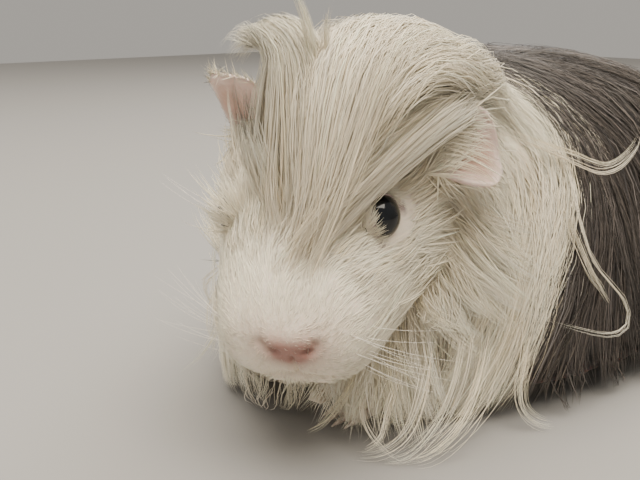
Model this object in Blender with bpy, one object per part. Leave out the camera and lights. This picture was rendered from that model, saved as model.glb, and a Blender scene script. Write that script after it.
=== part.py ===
"""A long-haired guinea pig with a white head and mane and a grey body, life size, as a still museum model.

The animal faces -Y with its left side at +X, and stands on the floor at Z = 0. Each solid reaches out to the
tips of the coat. Lengths in the tables are millimetres and MM turns them into metres.
"""

import math

import bmesh
import bpy
from mathutils import Matrix, Vector

MM = 0.001

# --- driving dimensions, in millimetres -----------------------------------------------------------
GAP = 0.35  # clearance kept between neighbouring solids
TOE_ROOM = 0.4  # the coat keeps this much further off the toes and claws
SMALLEST_EDGE = 0.002  # shorter edges that a cut leaves are closed up
FAR = 400.0  # reaches past the animal in every direction
SKIRT_CLEARANCE = 0.9  # the coat's tips stay this far off the floor, so that the feet carry the animal

# The head has a frame of its own: x to the animal's left, y back from the nose, z up from the mouth line.
HEAD_PITCH = 33.0  # degrees, nose down
HEAD_YAW = 32.0  # degrees, turned to the animal's left
HEAD_ROLL = 4.0  # degrees, left side up
NECK_IN_HEAD = (0.0, 62.0, 0.0)
NECK_ON_BODY = (6.0, 30.0, 66.0)
HEAD_TOP = (
    (0, 3.5), (2, 8.5), (6, 12.5), (14, 17.0), (26, 22.0),
    (38, 26.5), (50, 29.0), (62, 28.0), (74, 21.0), (80, 8.0),
)
HEAD_BOTTOM = (
    (0, -5.5), (2, -11.5), (6, -16.0), (14, -20.0), (26, -23.0),
    (38, -24.5), (50, -25.0), (62, -23.0), (74, -17.0), (80, -5.0),
)
HEAD_HALF_WIDTH = (
    (0, 8.0), (2, 14.5), (6, 19.0), (14, 22.8), (26, 26.6),
    (38, 30.4), (50, 32.2), (62, 31.0), (74, 23.5), (80, 8.0),
)
HEAD_LENGTH = 80.0
HEAD_SQUARENESS = 2.45  # exponent of the head's sections
CHEEK_WIDENING = 0.10  # the sections are this much wider low down than high up
CHEEK_START = 30.0  # distance back at which that widening is whole
MUZZLE_LENGTH = 19.0
NOSE_CENTRE = (0.0, 2.4, 2.2)
NOSE_RADII = (6.2, 3.2, 4.4)

EYE_RADIUS = 5.6
EYE_BACK, EYE_HEIGHT = 33.5, 14.5
EYE_PROTRUSION = 1.7

# Each ear is a petal. It grows from its root in one direction and ends in another, and its breadth runs
# along a third.
EAR_LENGTH, EAR_BREADTH, EAR_THICKNESS = 24.0, 26.0, 1.6
EAR_CUPPING = 3.2  # how far the petal's edges curl forwards
EAR_ROOT_WIDTH = 0.66  # share of the breadth that the petal has at its root
EAR_ROOT_LENGTH = 0.40  # share of the length that the petal's edges have
EARS = {
    "ear_left": {  # hangs
        "root": (28.0, 55.0, 18.0),
        "leaves": (0.96, -0.10, -0.12),
        "ends": (0.30, -0.14, -0.95),
        "breadth": (-0.12, 0.94, -0.32),
    },
    "ear_right": {  # stands up
        "root": (-21.0, 61.0, 16.5),
        "leaves": (-0.10, 0.02, 1.00),
        "ends": (-0.22, -0.22, 0.92),
        "breadth": (0.74, -0.40, 0.50),
    },
}

# Each half of the crest rises from the forehead and sweeps back over the crown: points, then half sizes
# across the head and square to that.
CREST_LEFT = (
    (8, 33, 19), (10, 38, 28), (13, 45, 37), (18, 55, 39), (25, 65, 34.5), (32, 76, 23), (35, 84, 8),
)
CREST_LEFT_SIZES = ((6, 3.5), (11, 7), (14, 10), (15.5, 11), (15, 11), (13, 10), (9, 7))
CREST_RIGHT = (
    (-5.5, 33, 19), (-6, 38, 28), (-6.5, 44, 38), (-7.5, 50, 44.5), (-9.5, 55, 44), (-11, 58, 37),
)
CREST_RIGHT_SIZES = ((6, 3.5), (7.5, 7), (8.5, 9.5), (9, 9), (8, 6.5), (6, 4))
CREST_WISP = ((1, 48, 38), (2, 50, 48), (3, 51, 57), (3, 51, 64))
CREST_WISP_SIZES = ((2.8, 2.2), (2.4, 1.9), (1.8, 1.4), (0.8, 0.7))

# The coat over neck, trunk and rump is one dome that stands on the floor: station, height and half width.
# Stations run back from the throat. The neck bends on an arc. From NECK_END on, a station is the same as y.
COAT_TOP = (
    (5, 38), (9, 62), (16, 81), (28, 92), (44, 97), (64, 99.5), (100, 100.5),
    (130, 98), (165, 91), (190, 80), (208, 64), (222, 42), (229, 20),
)
COAT_HALF_WIDTH = (
    (5, 13), (9, 23), (16, 33), (28, 43), (44, 54), (64, 61),
    (100, 67), (145, 68), (180, 63), (205, 51), (222, 31), (229, 12),
)
COAT_SQUARENESS = 2.55
NECK_BEND_RADIUS = 110.0
NECK_END, RUMP_START = 64.0, 144.0
MANE_LEAN = 0.28  # the mane's rear edge lies this much further back for each millimetre of height
MANE_EDGE = 48.0  # where that edge meets the floor

# Feet: the middle of the foot across the body, where its heel is, its size, and how high the leg goes.
FORE_FOOT = {"x": 21.0, "heel": 40.0, "length": 24.0, "width": 12.5, "toes": 4, "leg_height": 28.0}
HIND_FOOT = {"x": 33.0, "heel": 196.0, "length": 42.0, "width": 14.0, "toes": 3, "leg_height": 34.0}
FOOT_HEIGHT = 6.4
SOLE_TRIM = 1.0  # the round foot and toes are cut off this far up, which makes the flat soles
FOOT_SWELL = ((0.0, 0.45), (0.12, 0.8), (0.35, 0.86), (0.6, 0.95), (0.8, 0.78))  # share of length and width
TOE_START = 0.62  # share of the foot's length
TOE_HEIGHT, TOE_TIP_HEIGHT = 1.7, 1.3  # middle of the toe over the floor
TOE_SIZES = ((0.0, 1.9), (0.75, 2.05), (1.0, 1.1))  # share of the toe's length, then its radius
LEG_SIZES = ((0.0, 0.4), (0.4, 0.48), (0.8, 0.62), (1.0, 0.5))  # share of the leg, share of the foot's width
KNEE_INWARDS = 3.0
CLAW_LENGTH, CLAW_RADIUS, CLAW_DROOP = 5.6, 1.15, 0.7

HEAD_SIDES, HEAD_RINGS = 24, 15
COAT_SIDES, COAT_RINGS = 32, 17
CREST_SIDES, CREST_RINGS = 12, 8


# --- helpers --------------------------------------------------------------------------------------
def along(table, at):
    """Smooth value of a short table of (station, value) pairs at one station."""
    if at <= table[0][0]:
        return table[0][1]
    for k in range(len(table) - 1):
        (a, p), (b, q) = table[k], table[k + 1]
        if at <= b:
            before = table[k - 1] if k else (2 * a - b, 2 * p - q)
            after = table[k + 2] if k + 2 < len(table) else (2 * b - a, 2 * q - p)
            slope_a = (q - before[1]) / (b - before[0]) * (b - a)
            slope_b = (after[1] - p) / (after[0] - a) * (b - a)
            t = (at - a) / (b - a)
            return (
                p * (2 * t**3 - 3 * t**2 + 1)
                + slope_a * (t**3 - 2 * t**2 + t)
                + q * (3 * t**2 - 2 * t**3)
                + slope_b * (t**3 - t**2)
            )
    return table[-1][1]


def superellipse(angle, squareness):
    """Unit superellipse as (across, up)."""
    c, s = math.cos(angle), math.sin(angle)
    power = 2.0 / squareness
    return math.copysign(abs(c) ** power, c), math.copysign(abs(s) ** power, s)


def finish_shape(bm, name, material):
    """Turns a bmesh in millimetres into a smooth shaded object in metres."""
    bmesh.ops.recalc_face_normals(bm, faces=bm.faces)
    bmesh.ops.scale(bm, vec=(MM, MM, MM), verts=bm.verts)
    mesh = bpy.data.meshes.new(name)
    bm.to_mesh(mesh)
    bm.free()
    mesh.shade_smooth()
    mesh.set_sharp_from_angle(angle=math.radians(50))
    mesh.materials.append(material)
    shape = bpy.data.objects.new(name, mesh)
    bpy.context.scene.collection.objects.link(shape)
    return shape


def loft(name, rings, material):
    """A closed solid through rings of points that all have the same count."""
    bm = bmesh.new()
    loops = []
    for ring in rings:
        corners = [bm.verts.new(p) for p in ring]
        loops.append([bm.edges.new((a, b)) for a, b in zip(corners, corners[1:] + corners[:1])])
    for near, far in zip(loops, loops[1:]):
        bmesh.ops.bridge_loops(bm, edges=near + far)
    for end in (loops[0], loops[-1]):
        bmesh.ops.contextual_create(bm, geom=end)
    bmesh.ops.triangulate(bm, faces=[f for f in bm.faces if len(f.verts) > 4])
    return finish_shape(bm, name, material)


def ball(name, centre, radii, material, segments=24):
    """An ellipsoid."""
    bm = bmesh.new()
    bmesh.ops.create_uvsphere(bm, u_segments=segments, v_segments=segments // 2, radius=1.0)
    bmesh.ops.scale(bm, vec=radii, verts=bm.verts)
    bmesh.ops.translate(bm, vec=centre, verts=bm.verts)
    return finish_shape(bm, name, material)


def slab(name, low, high, lean=0.0):
    """A box that cuts, given by two corners in millimetres, with its ends leaning back as they rise."""
    bm = bmesh.new()
    bmesh.ops.create_cube(bm, size=1.0)
    size = [b - a for a, b in zip(low, high)]
    bmesh.ops.scale(bm, vec=size, verts=bm.verts)
    bmesh.ops.translate(bm, vec=[(a + b) / 2 for a, b in zip(low, high)], verts=bm.verts)
    for vert in bm.verts:
        vert.co.y += lean * vert.co.z
    return finish_shape(bm, name, bpy.data.materials[0])


def close_slivers(bm):
    """Welds the tiny edges that a cut leaves, and drops faces that folded flat onto each other."""
    bmesh.ops.triangulate(bm, faces=bm.faces)
    bmesh.ops.remove_doubles(bm, verts=bm.verts, dist=SMALLEST_EDGE * MM)
    faces = {}
    for face in bm.faces:
        faces.setdefault(frozenset(face.verts), []).append(face)
    folded = [face for group in faces.values() if len(group) > 1 for face in group]
    bmesh.ops.delete(bm, geom=folded, context="FACES")


def freeze(shape):
    """Applies the modifiers, and keeps the largest body that a Boolean left."""
    graph = bpy.context.evaluated_depsgraph_get()
    mesh = bpy.data.meshes.new_from_object(shape.evaluated_get(graph))
    shape.modifiers.clear()
    shape.data = mesh
    bm = bmesh.new()
    bm.from_mesh(mesh)
    close_slivers(bm)
    left, bodies = set(bm.verts), []
    while left:
        stack = [left.pop()]
        body = set(stack)
        while stack:
            near = {e.other_vert(v) for v in [stack.pop()] for e in v.link_edges} & left
            left -= near
            body |= near
            stack += near
        bodies.append(body)
    bodies.sort(key=len)
    bmesh.ops.delete(bm, geom=[v for body in bodies[:-1] for v in body], context="VERTS")
    bm.to_mesh(mesh)
    bm.free()
    mesh.set_sharp_from_angle(angle=math.radians(50))


def boolean(shape, other, operation):
    """One Boolean, applied."""
    step = shape.modifiers.new(operation.lower(), "BOOLEAN")
    step.object = other
    step.operation = operation
    step.solver = "MANIFOLD"
    bpy.context.view_layer.update()
    freeze(shape)


def swollen(shape, by):
    """A hidden copy of a shape, grown outwards, to cut a neighbour with."""
    copy = bpy.data.objects.new("cutter_" + shape.name, shape.data.copy())
    bpy.context.scene.collection.objects.link(copy)
    grow = copy.modifiers.new("grow", "DISPLACE")
    grow.strength = by * MM
    grow.mid_level = 0.0
    bpy.context.view_layer.update()
    freeze(copy)
    copy.hide_render = True
    copy.display_type = "WIRE"
    return copy


def fit_round(shape, *neighbours):
    """Cuts a shape back from its neighbours, so that they meet with a small gap."""
    for neighbour in neighbours:
        cutter = swollen(neighbour, GAP)
        boolean(shape, cutter, "DIFFERENCE")
        bpy.data.objects.remove(cutter)


def keep_inside(shape, low, high, lean=0.0):
    """Keeps what lies between two corners in millimetres."""
    box = slab("cutter_box", low, high, lean)
    boolean(shape, box, "INTERSECT")
    bpy.data.objects.remove(box)


def duplicate(shape, name):
    """A copy with a mesh of its own."""
    copy = bpy.data.objects.new(name, shape.data.copy())
    bpy.context.scene.collection.objects.link(copy)
    return copy


def finish_material(name, colour, roughness):
    """A plain material."""
    material = bpy.data.materials.new(name)
    material.use_nodes = True
    shader = material.node_tree.nodes["Principled BSDF"]
    shader.inputs["Base Color"].default_value = (*colour, 1.0)
    shader.inputs["Roughness"].default_value = roughness
    shader.inputs["Metallic"].default_value = 0.0
    material.diffuse_color = (*colour, 1.0)
    return material


# --- the head's frame -----------------------------------------------------------------------------
def head_matrix():
    """From the head's frame to the body's, both in metres."""
    yaw = Matrix.Rotation(math.radians(HEAD_YAW), 4, "Z")
    pitch = Matrix.Rotation(math.radians(HEAD_PITCH), 4, "X")
    roll = Matrix.Rotation(math.radians(-HEAD_ROLL), 4, "Y")
    turn = yaw @ pitch @ roll
    neck = Vector(NECK_ON_BODY) - turn.to_3x3() @ Vector(NECK_IN_HEAD)
    return Matrix.Translation(neck * MM) @ turn


def head_point(back, angle):
    """A point of the head's outer surface at a distance back from the nose."""
    top, bottom = along(HEAD_TOP, back), along(HEAD_BOTTOM, back)
    across, up = superellipse(angle, HEAD_SQUARENESS)
    widening = 1.0 - CHEEK_WIDENING * up * min(1.0, back / CHEEK_START)
    half_width = along(HEAD_HALF_WIDTH, back) * widening
    return Vector((half_width * across, back, (top + bottom) / 2 + (top - bottom) / 2 * up))


def head_side(back, height):
    """Half the head's width at a distance back and a height, by halving the angle's range."""
    low, high = 0.0, math.pi / 2
    for _ in range(30):
        middle = (low + high) / 2
        if head_point(back, middle).z < height:
            low = middle
        else:
            high = middle
    return head_point(back, low).x


def make_head(material):
    """The head's whole outer form, from the nose to where it sinks into the mane."""
    stations = [HEAD_LENGTH * (k / HEAD_RINGS) ** 1.3 for k in range(HEAD_RINGS + 1)]
    rings = [
        [head_point(back, 2 * math.pi * k / HEAD_SIDES) for k in range(HEAD_SIDES)] for back in stations
    ]
    return loft("head", rings, material)


# --- ears -----------------------------------------------------------------------------------------
def ear_point(ear, out, across):
    """A point of the ear's sheet: out runs from 0 at the root to 1, and across from -1 to 1."""
    root, leaves, ends, breadth = (Vector(ear[key]) for key in ("root", "leaves", "ends", "breadth"))
    middle = root + EAR_LENGTH * (leaves * (out - out * out / 2) + ends * out * out / 2)
    forward = (leaves * (1 - out) + ends * out).normalized()
    width = EAR_ROOT_WIDTH + (1 - EAR_ROOT_WIDTH) * math.sin(math.pi * min(1.0, 0.15 + out))
    cup = forward.cross(breadth).normalized() * EAR_CUPPING * across * across * (0.35 + 0.65 * out)
    return middle + breadth.normalized() * EAR_BREADTH / 2 * across * width + cup


def make_ear(name, material):
    """A thin petal, round at its rim and thickened on both faces."""
    bm = bmesh.new()
    bmesh.ops.create_grid(bm, x_segments=6, y_segments=8, size=1.0)
    for vert in bm.verts:
        out, across = (vert.co.x + 1) / 2, vert.co.y
        rim = math.sqrt(max(0.0, 1.0 - (0.93 * across) ** 2))
        reach = EAR_ROOT_LENGTH + (1 - EAR_ROOT_LENGTH) * rim
        vert.co = ear_point(EARS[name], out * reach, across)
    bmesh.ops.recalc_face_normals(bm, faces=bm.faces)
    bmesh.ops.solidify(bm, geom=bm.faces[:], thickness=EAR_THICKNESS)
    return finish_shape(bm, name, material)


# --- coat, feet -----------------------------------------------------------------------------------
def spine_frame(station):
    """Where the body's middle line is at a station, and how far it is turned there, in radians."""
    turn = math.radians(HEAD_YAW)
    angle = min(turn, max(0.0, (NECK_END - station) / NECK_BEND_RADIUS))
    x = NECK_BEND_RADIUS * (1 - math.cos(angle))
    y = NECK_END - NECK_BEND_RADIUS * math.sin(angle) + max(0.0, station - NECK_END)
    straight = max(0.0, NECK_END - NECK_BEND_RADIUS * turn - station)
    return Vector((x + straight * math.sin(angle), y - straight * math.cos(angle), 0.0)), angle


def coat_ring(station):
    """One cross section of the dome that the long coat makes, flat where it hangs to the floor."""
    top, half = along(COAT_TOP, station), along(COAT_HALF_WIDTH, station)
    middle, angle = spine_frame(station)
    left = Vector((math.cos(angle), math.sin(angle), 0.0))
    arch = COAT_SIDES * 3 // 4
    outline = [superellipse(math.pi * k / arch, COAT_SQUARENESS) for k in range(arch + 1)]
    floor = COAT_SIDES - arch
    outline += [(2 * k / floor - 1, 0.0) for k in range(1, floor)]
    height = top - SKIRT_CLEARANCE
    return [middle + left * half * x + Vector((0, 0, SKIRT_CLEARANCE + height * up)) for x, up in outline]


def make_coat(material):
    """The whole dome from the throat to the rump."""
    first, last = COAT_TOP[0][0], COAT_TOP[-1][0]
    shares = [0.5 - 0.5 * math.cos(math.pi * k / COAT_RINGS) for k in range(COAT_RINGS + 1)]
    stations = [first + (last - first) * share for share in shares]
    return loft("coat", [coat_ring(y) for y in stations], material)


def part_mane(mane, side):
    """Keeps one side of the mane, cut along the middle of the bent neck."""
    rise = Vector((0, 0, FAR / 2))
    rings = []
    for station in range(int(NECK_END) + 30, int(NECK_END) - 90, -8):
        middle, angle = spine_frame(station)
        left = Vector((math.cos(angle), math.sin(angle), 0.0)) * side
        inner, outer = middle + left * GAP / 2, middle + left * FAR
        rings.append([inner, outer, outer + rise, inner + rise])
    half = loft("cutter_half", rings, mane.data.materials[0])
    boolean(mane, half, "INTERSECT")
    bpy.data.objects.remove(half)


def toe_places(foot):
    """Each toe's tip as (x across the foot, y forward of the heel), fanned out."""
    count = foot["toes"]
    for k in range(count):
        spread = (k - (count - 1) / 2) / max(1, (count - 1) / 2)
        yield spread * foot["width"] * 0.36, foot["length"] * (1.0 - 0.09 * spread * spread)


def capsule_ring(centre, half_width, half_height, direction, sides=8):
    """A ring round a centre, square to a direction."""
    forward = Vector(direction).normalized()
    across = forward.cross(Vector((0, 0, 1)))
    across = across.normalized() if across.length > 0.2 else Vector((1, 0, 0))
    up = across.cross(forward)
    turns = (2 * math.pi * k / sides for k in range(sides))
    wide, high = across * half_width, up * half_height
    return [Vector(centre) + wide * math.cos(t) + high * math.sin(t) for t in turns]


def make_foot(name, side, foot, material):
    """A foot flat on the floor with its toes and the short leg above it."""
    x, heel, length, width = side * foot["x"], foot["heel"], foot["length"], foot["width"]
    rings = []
    for share, swell in FOOT_SWELL:
        half_height = FOOT_HEIGHT / 2 * (0.7 + 0.3 * swell)
        centre = (x, heel - length * share, half_height - SOLE_TRIM)
        rings.append(capsule_ring(centre, width / 2 * swell, half_height, (0, -1, 0)))
    shape = loft(name, rings, material)
    for across, forward in toe_places(foot):
        start = Vector((x + across * 0.7, heel - length * TOE_START, TOE_HEIGHT))
        tip = Vector((x + across, heel - forward, TOE_TIP_HEIGHT))
        way = tip - start
        toe_rings = [capsule_ring(start + way * share, size, size, way, 6) for share, size in TOE_SIZES]
        toe = loft("cutter_toe", toe_rings, material)
        boolean(shape, toe, "UNION")
        bpy.data.objects.remove(toe)
    ankle = Vector((x, heel - length * 0.16, 3.5))
    knee = Vector((x - side * KNEE_INWARDS, heel - length * 0.05, foot["leg_height"]))
    leg_rings = [
        capsule_ring(ankle.lerp(knee, share), width * size, width * size, knee - ankle)
        for share, size in LEG_SIZES
    ]
    leg = loft("cutter_leg", leg_rings, material)
    boolean(shape, leg, "UNION")
    bpy.data.objects.remove(leg)
    keep_inside(shape, (x - FAR, heel - FAR, 0.0), (x + FAR, heel + FAR, FAR))
    return shape


def make_claws(prefix, side, foot, foot_shape, material):
    """One small curved cone in front of each toe."""
    claws = []
    for number, (across, forward) in enumerate(toe_places(foot), 1):
        tip = Vector((side * foot["x"] + across, foot["heel"] - forward, TOE_TIP_HEIGHT + 0.5))
        rings = []
        for share in (0.0, 0.45, 0.8, 1.0):
            centre = tip + Vector((0, 1.0 - CLAW_LENGTH * share, -CLAW_DROOP * share * share))
            radius = CLAW_RADIUS * (1.02 - share * 0.8)
            rings.append(capsule_ring(centre, radius, radius, (0, -1, 0), 6))
        claw = loft(f"{prefix}_claw_{number}", rings, material)
        fit_round(claw, foot_shape)
        claws.append(claw)
    return claws


def claw_room(foot_shape, foot, claws):
    """A hidden solid round a foot's toes and claws, to cut the coat with."""
    toes_from, toes_below = (foot["heel"] - foot["length"] * 0.6) * MM, 6.5 * MM
    bm = bmesh.new()
    bm.from_mesh(foot_shape.data)
    behind = [v for v in bm.verts if v.co.y > toes_from or v.co.z > toes_below]
    bmesh.ops.delete(bm, geom=behind, context="VERTS")
    for claw in claws:
        bm.from_mesh(claw.data)
    hull = bmesh.ops.convex_hull(bm, input=bm.verts)
    kept = {item for item in hull["geom"] if isinstance(item, bmesh.types.BMFace)}
    bmesh.ops.delete(bm, geom=[f for f in bm.faces if f not in kept], context="FACES_ONLY")
    bmesh.ops.delete(bm, geom=[v for v in bm.verts if not v.link_faces], context="VERTS")
    bmesh.ops.delete(bm, geom=[e for e in bm.edges if not e.link_faces], context="EDGES")
    bmesh.ops.scale(bm, vec=(1 / MM,) * 3, verts=bm.verts)
    bmesh.ops.recalc_face_normals(bm, faces=bm.faces)
    bm.normal_update()
    for vert, way in [(v, v.normal.copy()) for v in bm.verts]:
        vert.co += way * TOE_ROOM
    return finish_shape(bm, "cutter_claws", bpy.data.materials[0])


# --- crest ----------------------------------------------------------------------------------------
def spread_evenly(points, count):
    """Values along a smooth curve through a list of points, count + 1 of them."""
    tables = [tuple((k, point[axis]) for k, point in enumerate(points)) for axis in range(len(points[0]))]
    last = len(points) - 1
    return [tuple(along(table, last * k / count) for table in tables) for k in range(count + 1)]


def make_tuft(name, path, sizes, material, sides=CREST_SIDES):
    """A tuft with an oval section along a smooth path in the head's frame."""
    path = [Vector(point) for point in spread_evenly(path, CREST_RINGS)]
    sizes = spread_evenly(sizes, CREST_RINGS)
    rings = []
    for k, (point, (wide, thick)) in enumerate(zip(path, sizes)):
        forward = (path[min(CREST_RINGS, k + 1)] - path[max(0, k - 1)]).normalized()
        rise = Vector((1, 0, 0)).cross(forward).normalized()
        across = forward.cross(rise)
        turns = (2 * math.pi * n / sides for n in range(sides))
        rings.append([point + across * wide * math.cos(t) + rise * thick * math.sin(t) for t in turns])
    return loft(name, rings, material)


# --- assembly -------------------------------------------------------------------------------------
def stand_on_origin(shapes):
    """Moves everything so that the middle of the footprint is the origin and the soles are at Z = 0."""
    corners = [v.co for shape in shapes for v in shape.data.vertices]
    low = Vector(min(c[axis] for c in corners) for axis in range(3))
    high = Vector(max(c[axis] for c in corners) for axis in range(3))
    shift = Vector((-(low.x + high.x) / 2, -(low.y + high.y) / 2, -low.z))
    for shape in shapes:
        shape.data.transform(Matrix.Translation(shift))


def main():
    """Builds the animal."""
    for thing in list(bpy.data.objects):
        bpy.data.objects.remove(thing)
    white = finish_material("white_coat", (0.80, 0.74, 0.66), 0.7)
    grey = finish_material("grey_coat", (0.19, 0.165, 0.155), 0.65)
    pink = finish_material("pink_skin", (0.72, 0.47, 0.42), 0.5)
    dark = finish_material("eye", (0.02, 0.022, 0.028), 0.08)
    horn = finish_material("claw_horn", (0.70, 0.60, 0.52), 0.4)
    to_body = head_matrix()

    whole_head = make_head(white)
    eyes = []
    for name, side in (("eye_left", 1), ("eye_right", -1)):
        x = head_side(EYE_BACK, EYE_HEIGHT) + EYE_PROTRUSION - EYE_RADIUS
        eyes.append(ball(name, (side * x, EYE_BACK, EYE_HEIGHT), (EYE_RADIUS,) * 3, dark, 16))
    nose = ball("nose", NOSE_CENTRE, NOSE_RADII, pink, 12)
    fit_round(whole_head, nose, *eyes)
    muzzle = duplicate(whole_head, "muzzle")
    keep_inside(muzzle, (-60, -20, -60), (60, MUZZLE_LENGTH, 60))
    keep_inside(whole_head, (-60, MUZZLE_LENGTH + GAP, -60), (60, 120, 60))
    ears = [make_ear(name, pink) for name in EARS]
    crest = [
        make_tuft("crest_wisp", CREST_WISP, CREST_WISP_SIZES, white, 8),
        make_tuft("crest_left", CREST_LEFT, CREST_LEFT_SIZES, white),
        make_tuft("crest_right", CREST_RIGHT, CREST_RIGHT_SIZES, white),
    ]
    for ear in ears:
        fit_round(ear, whole_head)
    wisp, crest_left, crest_right = crest
    fit_round(wisp, whole_head)
    fit_round(crest_left, whole_head, eyes[0], wisp, ears[0])
    fit_round(crest_right, whole_head, eyes[1], wisp, ears[1], crest_left)
    head_group = [whole_head, muzzle, nose, *eyes, *ears, *crest]
    for shape in head_group:
        shape.data.transform(to_body)

    feet, claws, rooms = [], [], []
    for prefix, side, foot in (
        ("fore_leg_left", 1, FORE_FOOT),
        ("fore_leg_right", -1, FORE_FOOT),
        ("hind_leg_left", 1, HIND_FOOT),
        ("hind_leg_right", -1, HIND_FOOT),
    ):
        shape = make_foot(prefix, side, foot, white if "fore" in prefix else grey)
        feet.append(shape)
        claws += make_claws(prefix, side, foot, shape, horn)
        rooms.append(claw_room(shape, foot, claws[-foot["toes"]:]))

    coat = make_coat(grey)
    trunk, rump = duplicate(coat, "trunk"), duplicate(coat, "rump")
    mane_left, mane_right = duplicate(coat, "neck_mane_left"), duplicate(coat, "neck_mane_right")
    bpy.data.objects.remove(coat)
    for mane in (mane_left, mane_right):
        keep_inside(mane, (-FAR, -FAR, 0), (FAR, MANE_EDGE, FAR), MANE_LEAN)
    part_mane(mane_left, 1)
    part_mane(mane_right, -1)
    keep_inside(trunk, (-FAR, MANE_EDGE + GAP, 0), (FAR, FAR, FAR), MANE_LEAN)
    keep_inside(trunk, (-FAR, -FAR, 0), (FAR, RUMP_START, FAR))
    keep_inside(rump, (-FAR, RUMP_START + GAP, 0), (FAR, FAR, FAR))
    for mane in (mane_left, mane_right):
        mane.data.materials.clear()
        mane.data.materials.append(white)
        fit_round(mane, whole_head, muzzle, *ears, *crest, *feet[:2], *rooms[:2])
    fit_round(trunk, whole_head, *crest)
    fit_round(rump, *feet[2:], *rooms[2:])
    for room in rooms:
        bpy.data.objects.remove(room)
    solids = [*head_group, *feet, *claws, mane_left, mane_right, trunk, rump]
    stand_on_origin(solids)


main()
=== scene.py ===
"""Dresses a still, life-size, long-haired guinea pig: skin, eyes, claws, coat, whiskers and a plain studio.

The animal faces -Y with its left side at +X and stands on Z = 0. Tables and arrays are in millimetres, and MM turns
them into metres where a mesh is made.
"""

from __future__ import annotations

import logging
import math
from dataclasses import dataclass, field, replace
from enum import Enum
from operator import attrgetter

import bmesh
import bpy
import numpy as np
from mathutils import Matrix, Vector
from mathutils.bvhtree import BVHTree

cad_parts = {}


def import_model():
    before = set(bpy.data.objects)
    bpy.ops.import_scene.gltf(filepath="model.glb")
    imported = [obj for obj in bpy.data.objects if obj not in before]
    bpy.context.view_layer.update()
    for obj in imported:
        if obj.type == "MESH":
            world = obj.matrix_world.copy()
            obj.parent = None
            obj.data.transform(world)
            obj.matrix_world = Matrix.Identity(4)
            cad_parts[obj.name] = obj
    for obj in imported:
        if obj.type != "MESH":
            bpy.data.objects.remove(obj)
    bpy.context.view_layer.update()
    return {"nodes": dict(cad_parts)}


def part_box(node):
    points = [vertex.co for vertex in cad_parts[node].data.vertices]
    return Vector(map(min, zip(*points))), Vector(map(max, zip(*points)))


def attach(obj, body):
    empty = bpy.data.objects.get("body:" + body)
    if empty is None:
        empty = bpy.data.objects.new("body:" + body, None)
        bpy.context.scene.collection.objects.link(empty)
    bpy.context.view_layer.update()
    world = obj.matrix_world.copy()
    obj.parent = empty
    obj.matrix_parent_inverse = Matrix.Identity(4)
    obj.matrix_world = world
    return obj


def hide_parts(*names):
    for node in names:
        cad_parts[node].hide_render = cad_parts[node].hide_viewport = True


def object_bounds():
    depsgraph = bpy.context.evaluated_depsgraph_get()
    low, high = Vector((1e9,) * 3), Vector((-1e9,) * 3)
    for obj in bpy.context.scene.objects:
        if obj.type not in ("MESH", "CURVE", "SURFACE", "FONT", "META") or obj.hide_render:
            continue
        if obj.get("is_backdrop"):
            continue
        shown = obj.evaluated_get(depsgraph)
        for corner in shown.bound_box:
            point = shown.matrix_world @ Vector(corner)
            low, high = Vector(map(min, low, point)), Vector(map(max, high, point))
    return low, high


LOG = logging.getLogger("guinea_pig")
Array = np.ndarray
Triple = tuple[float, float, float]  # a place, a direction or a colour
Pair = tuple[float, float]
Table = tuple[tuple[float, ...], ...]
Random = np.random.Generator
Object, Mesh, Material, Socket = bpy.types.Object, bpy.types.Mesh, bpy.types.Material, bpy.types.NodeSocket
BMesh = bmesh.types.BMesh
CadNodes = dict[str, Object]
MM = 0.001
FULL_TURN = 2 * math.pi
MOST_TRIANGLES = 190_000  # in one piece of the coat
PATCH = 0.003  # each strand's patch on the baking map
SAME_PLACE = 1e-6  # corners of a CAD node nearer than this are one, in metres
NOSE_ASIDE = 3.0  # the nose turns a little to the left
EYE_RADIUS = 6.0
EYE_SINK = {1: 2.7, -1: 2.7 + 0.6}  # how much deeper the left and the right eyeball lie than the CAD ones
LID_OPENING = 1.12  # the angle from the eye's axis at which the lids part
EYE_FUR = 9.5  # fur nearer than this to an eyeball's middle is short and fine
EYE_CLEAR = 7.0  # long locks keep this far from the front of an eyeball
EAR_FUR = 2.6  # skin nearer than this to a petal is the ear's
BRIGHTEST = 0.97

HAIR_WHITE = (0.93, 0.82, 0.62), (0.97, 0.895, 0.72)  # at the root and at the tip
HAIR_GREY = (0.040, 0.035, 0.032), (0.088, 0.075, 0.067)
FUR_WHITE = (0.92, 0.82, 0.62), (0.96, 0.895, 0.72)
FUR_ROSY, FUR_GREY = (0.56, 0.33, 0.27), (0.14, 0.12, 0.11)
WOOL_WHITE, WOOL_GREY = (0.93, 0.83, 0.65), (0.042, 0.036, 0.033)
SKIN_WHITE, SKIN_GREY, SKIN_BARE = (0.90, 0.80, 0.655), (0.10, 0.085, 0.078), (0.38, 0.20, 0.165)
# The ear's inside colour is its pink skin darkened by painted shade; its rim colour is the lighter furred edge, and it
# also paints light onto each ear's upper half.
EAR_INSIDE_IN_SHADE, EAR_RIM_AND_LIT_SIDE, LID_RIM = (0.60, 0.39, 0.30), (0.86, 0.68, 0.61), (0.34, 0.25, 0.235)
WHISKER = (1.0, 0.93, 0.82)


class Region(Enum):
    """The regions of long hair, each with the seed of its random numbers."""

    CREST = 41
    BROW = 51
    JOWL = 55
    MANE = 61
    BODY = 71
    LOOSE = 81


class Growth(Enum):
    """The kinds of short fur."""

    FACE = "face"
    TEMPLE = "temple"
    FOOT = "foot"


# --- plain mathematics ---
def unit(vectors: Array) -> Array:
    """Vectors of length one along the last axis."""
    return vectors / np.maximum(np.linalg.norm(vectors, axis=-1, keepdims=True), 1e-9)


def smooth(value: Array) -> Array:
    """An S curve from 0 to 1 over the range 0 to 1."""
    value = np.clip(value, 0.0, 1.0)
    return value * value * (3.0 - 2.0 * value)


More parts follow.
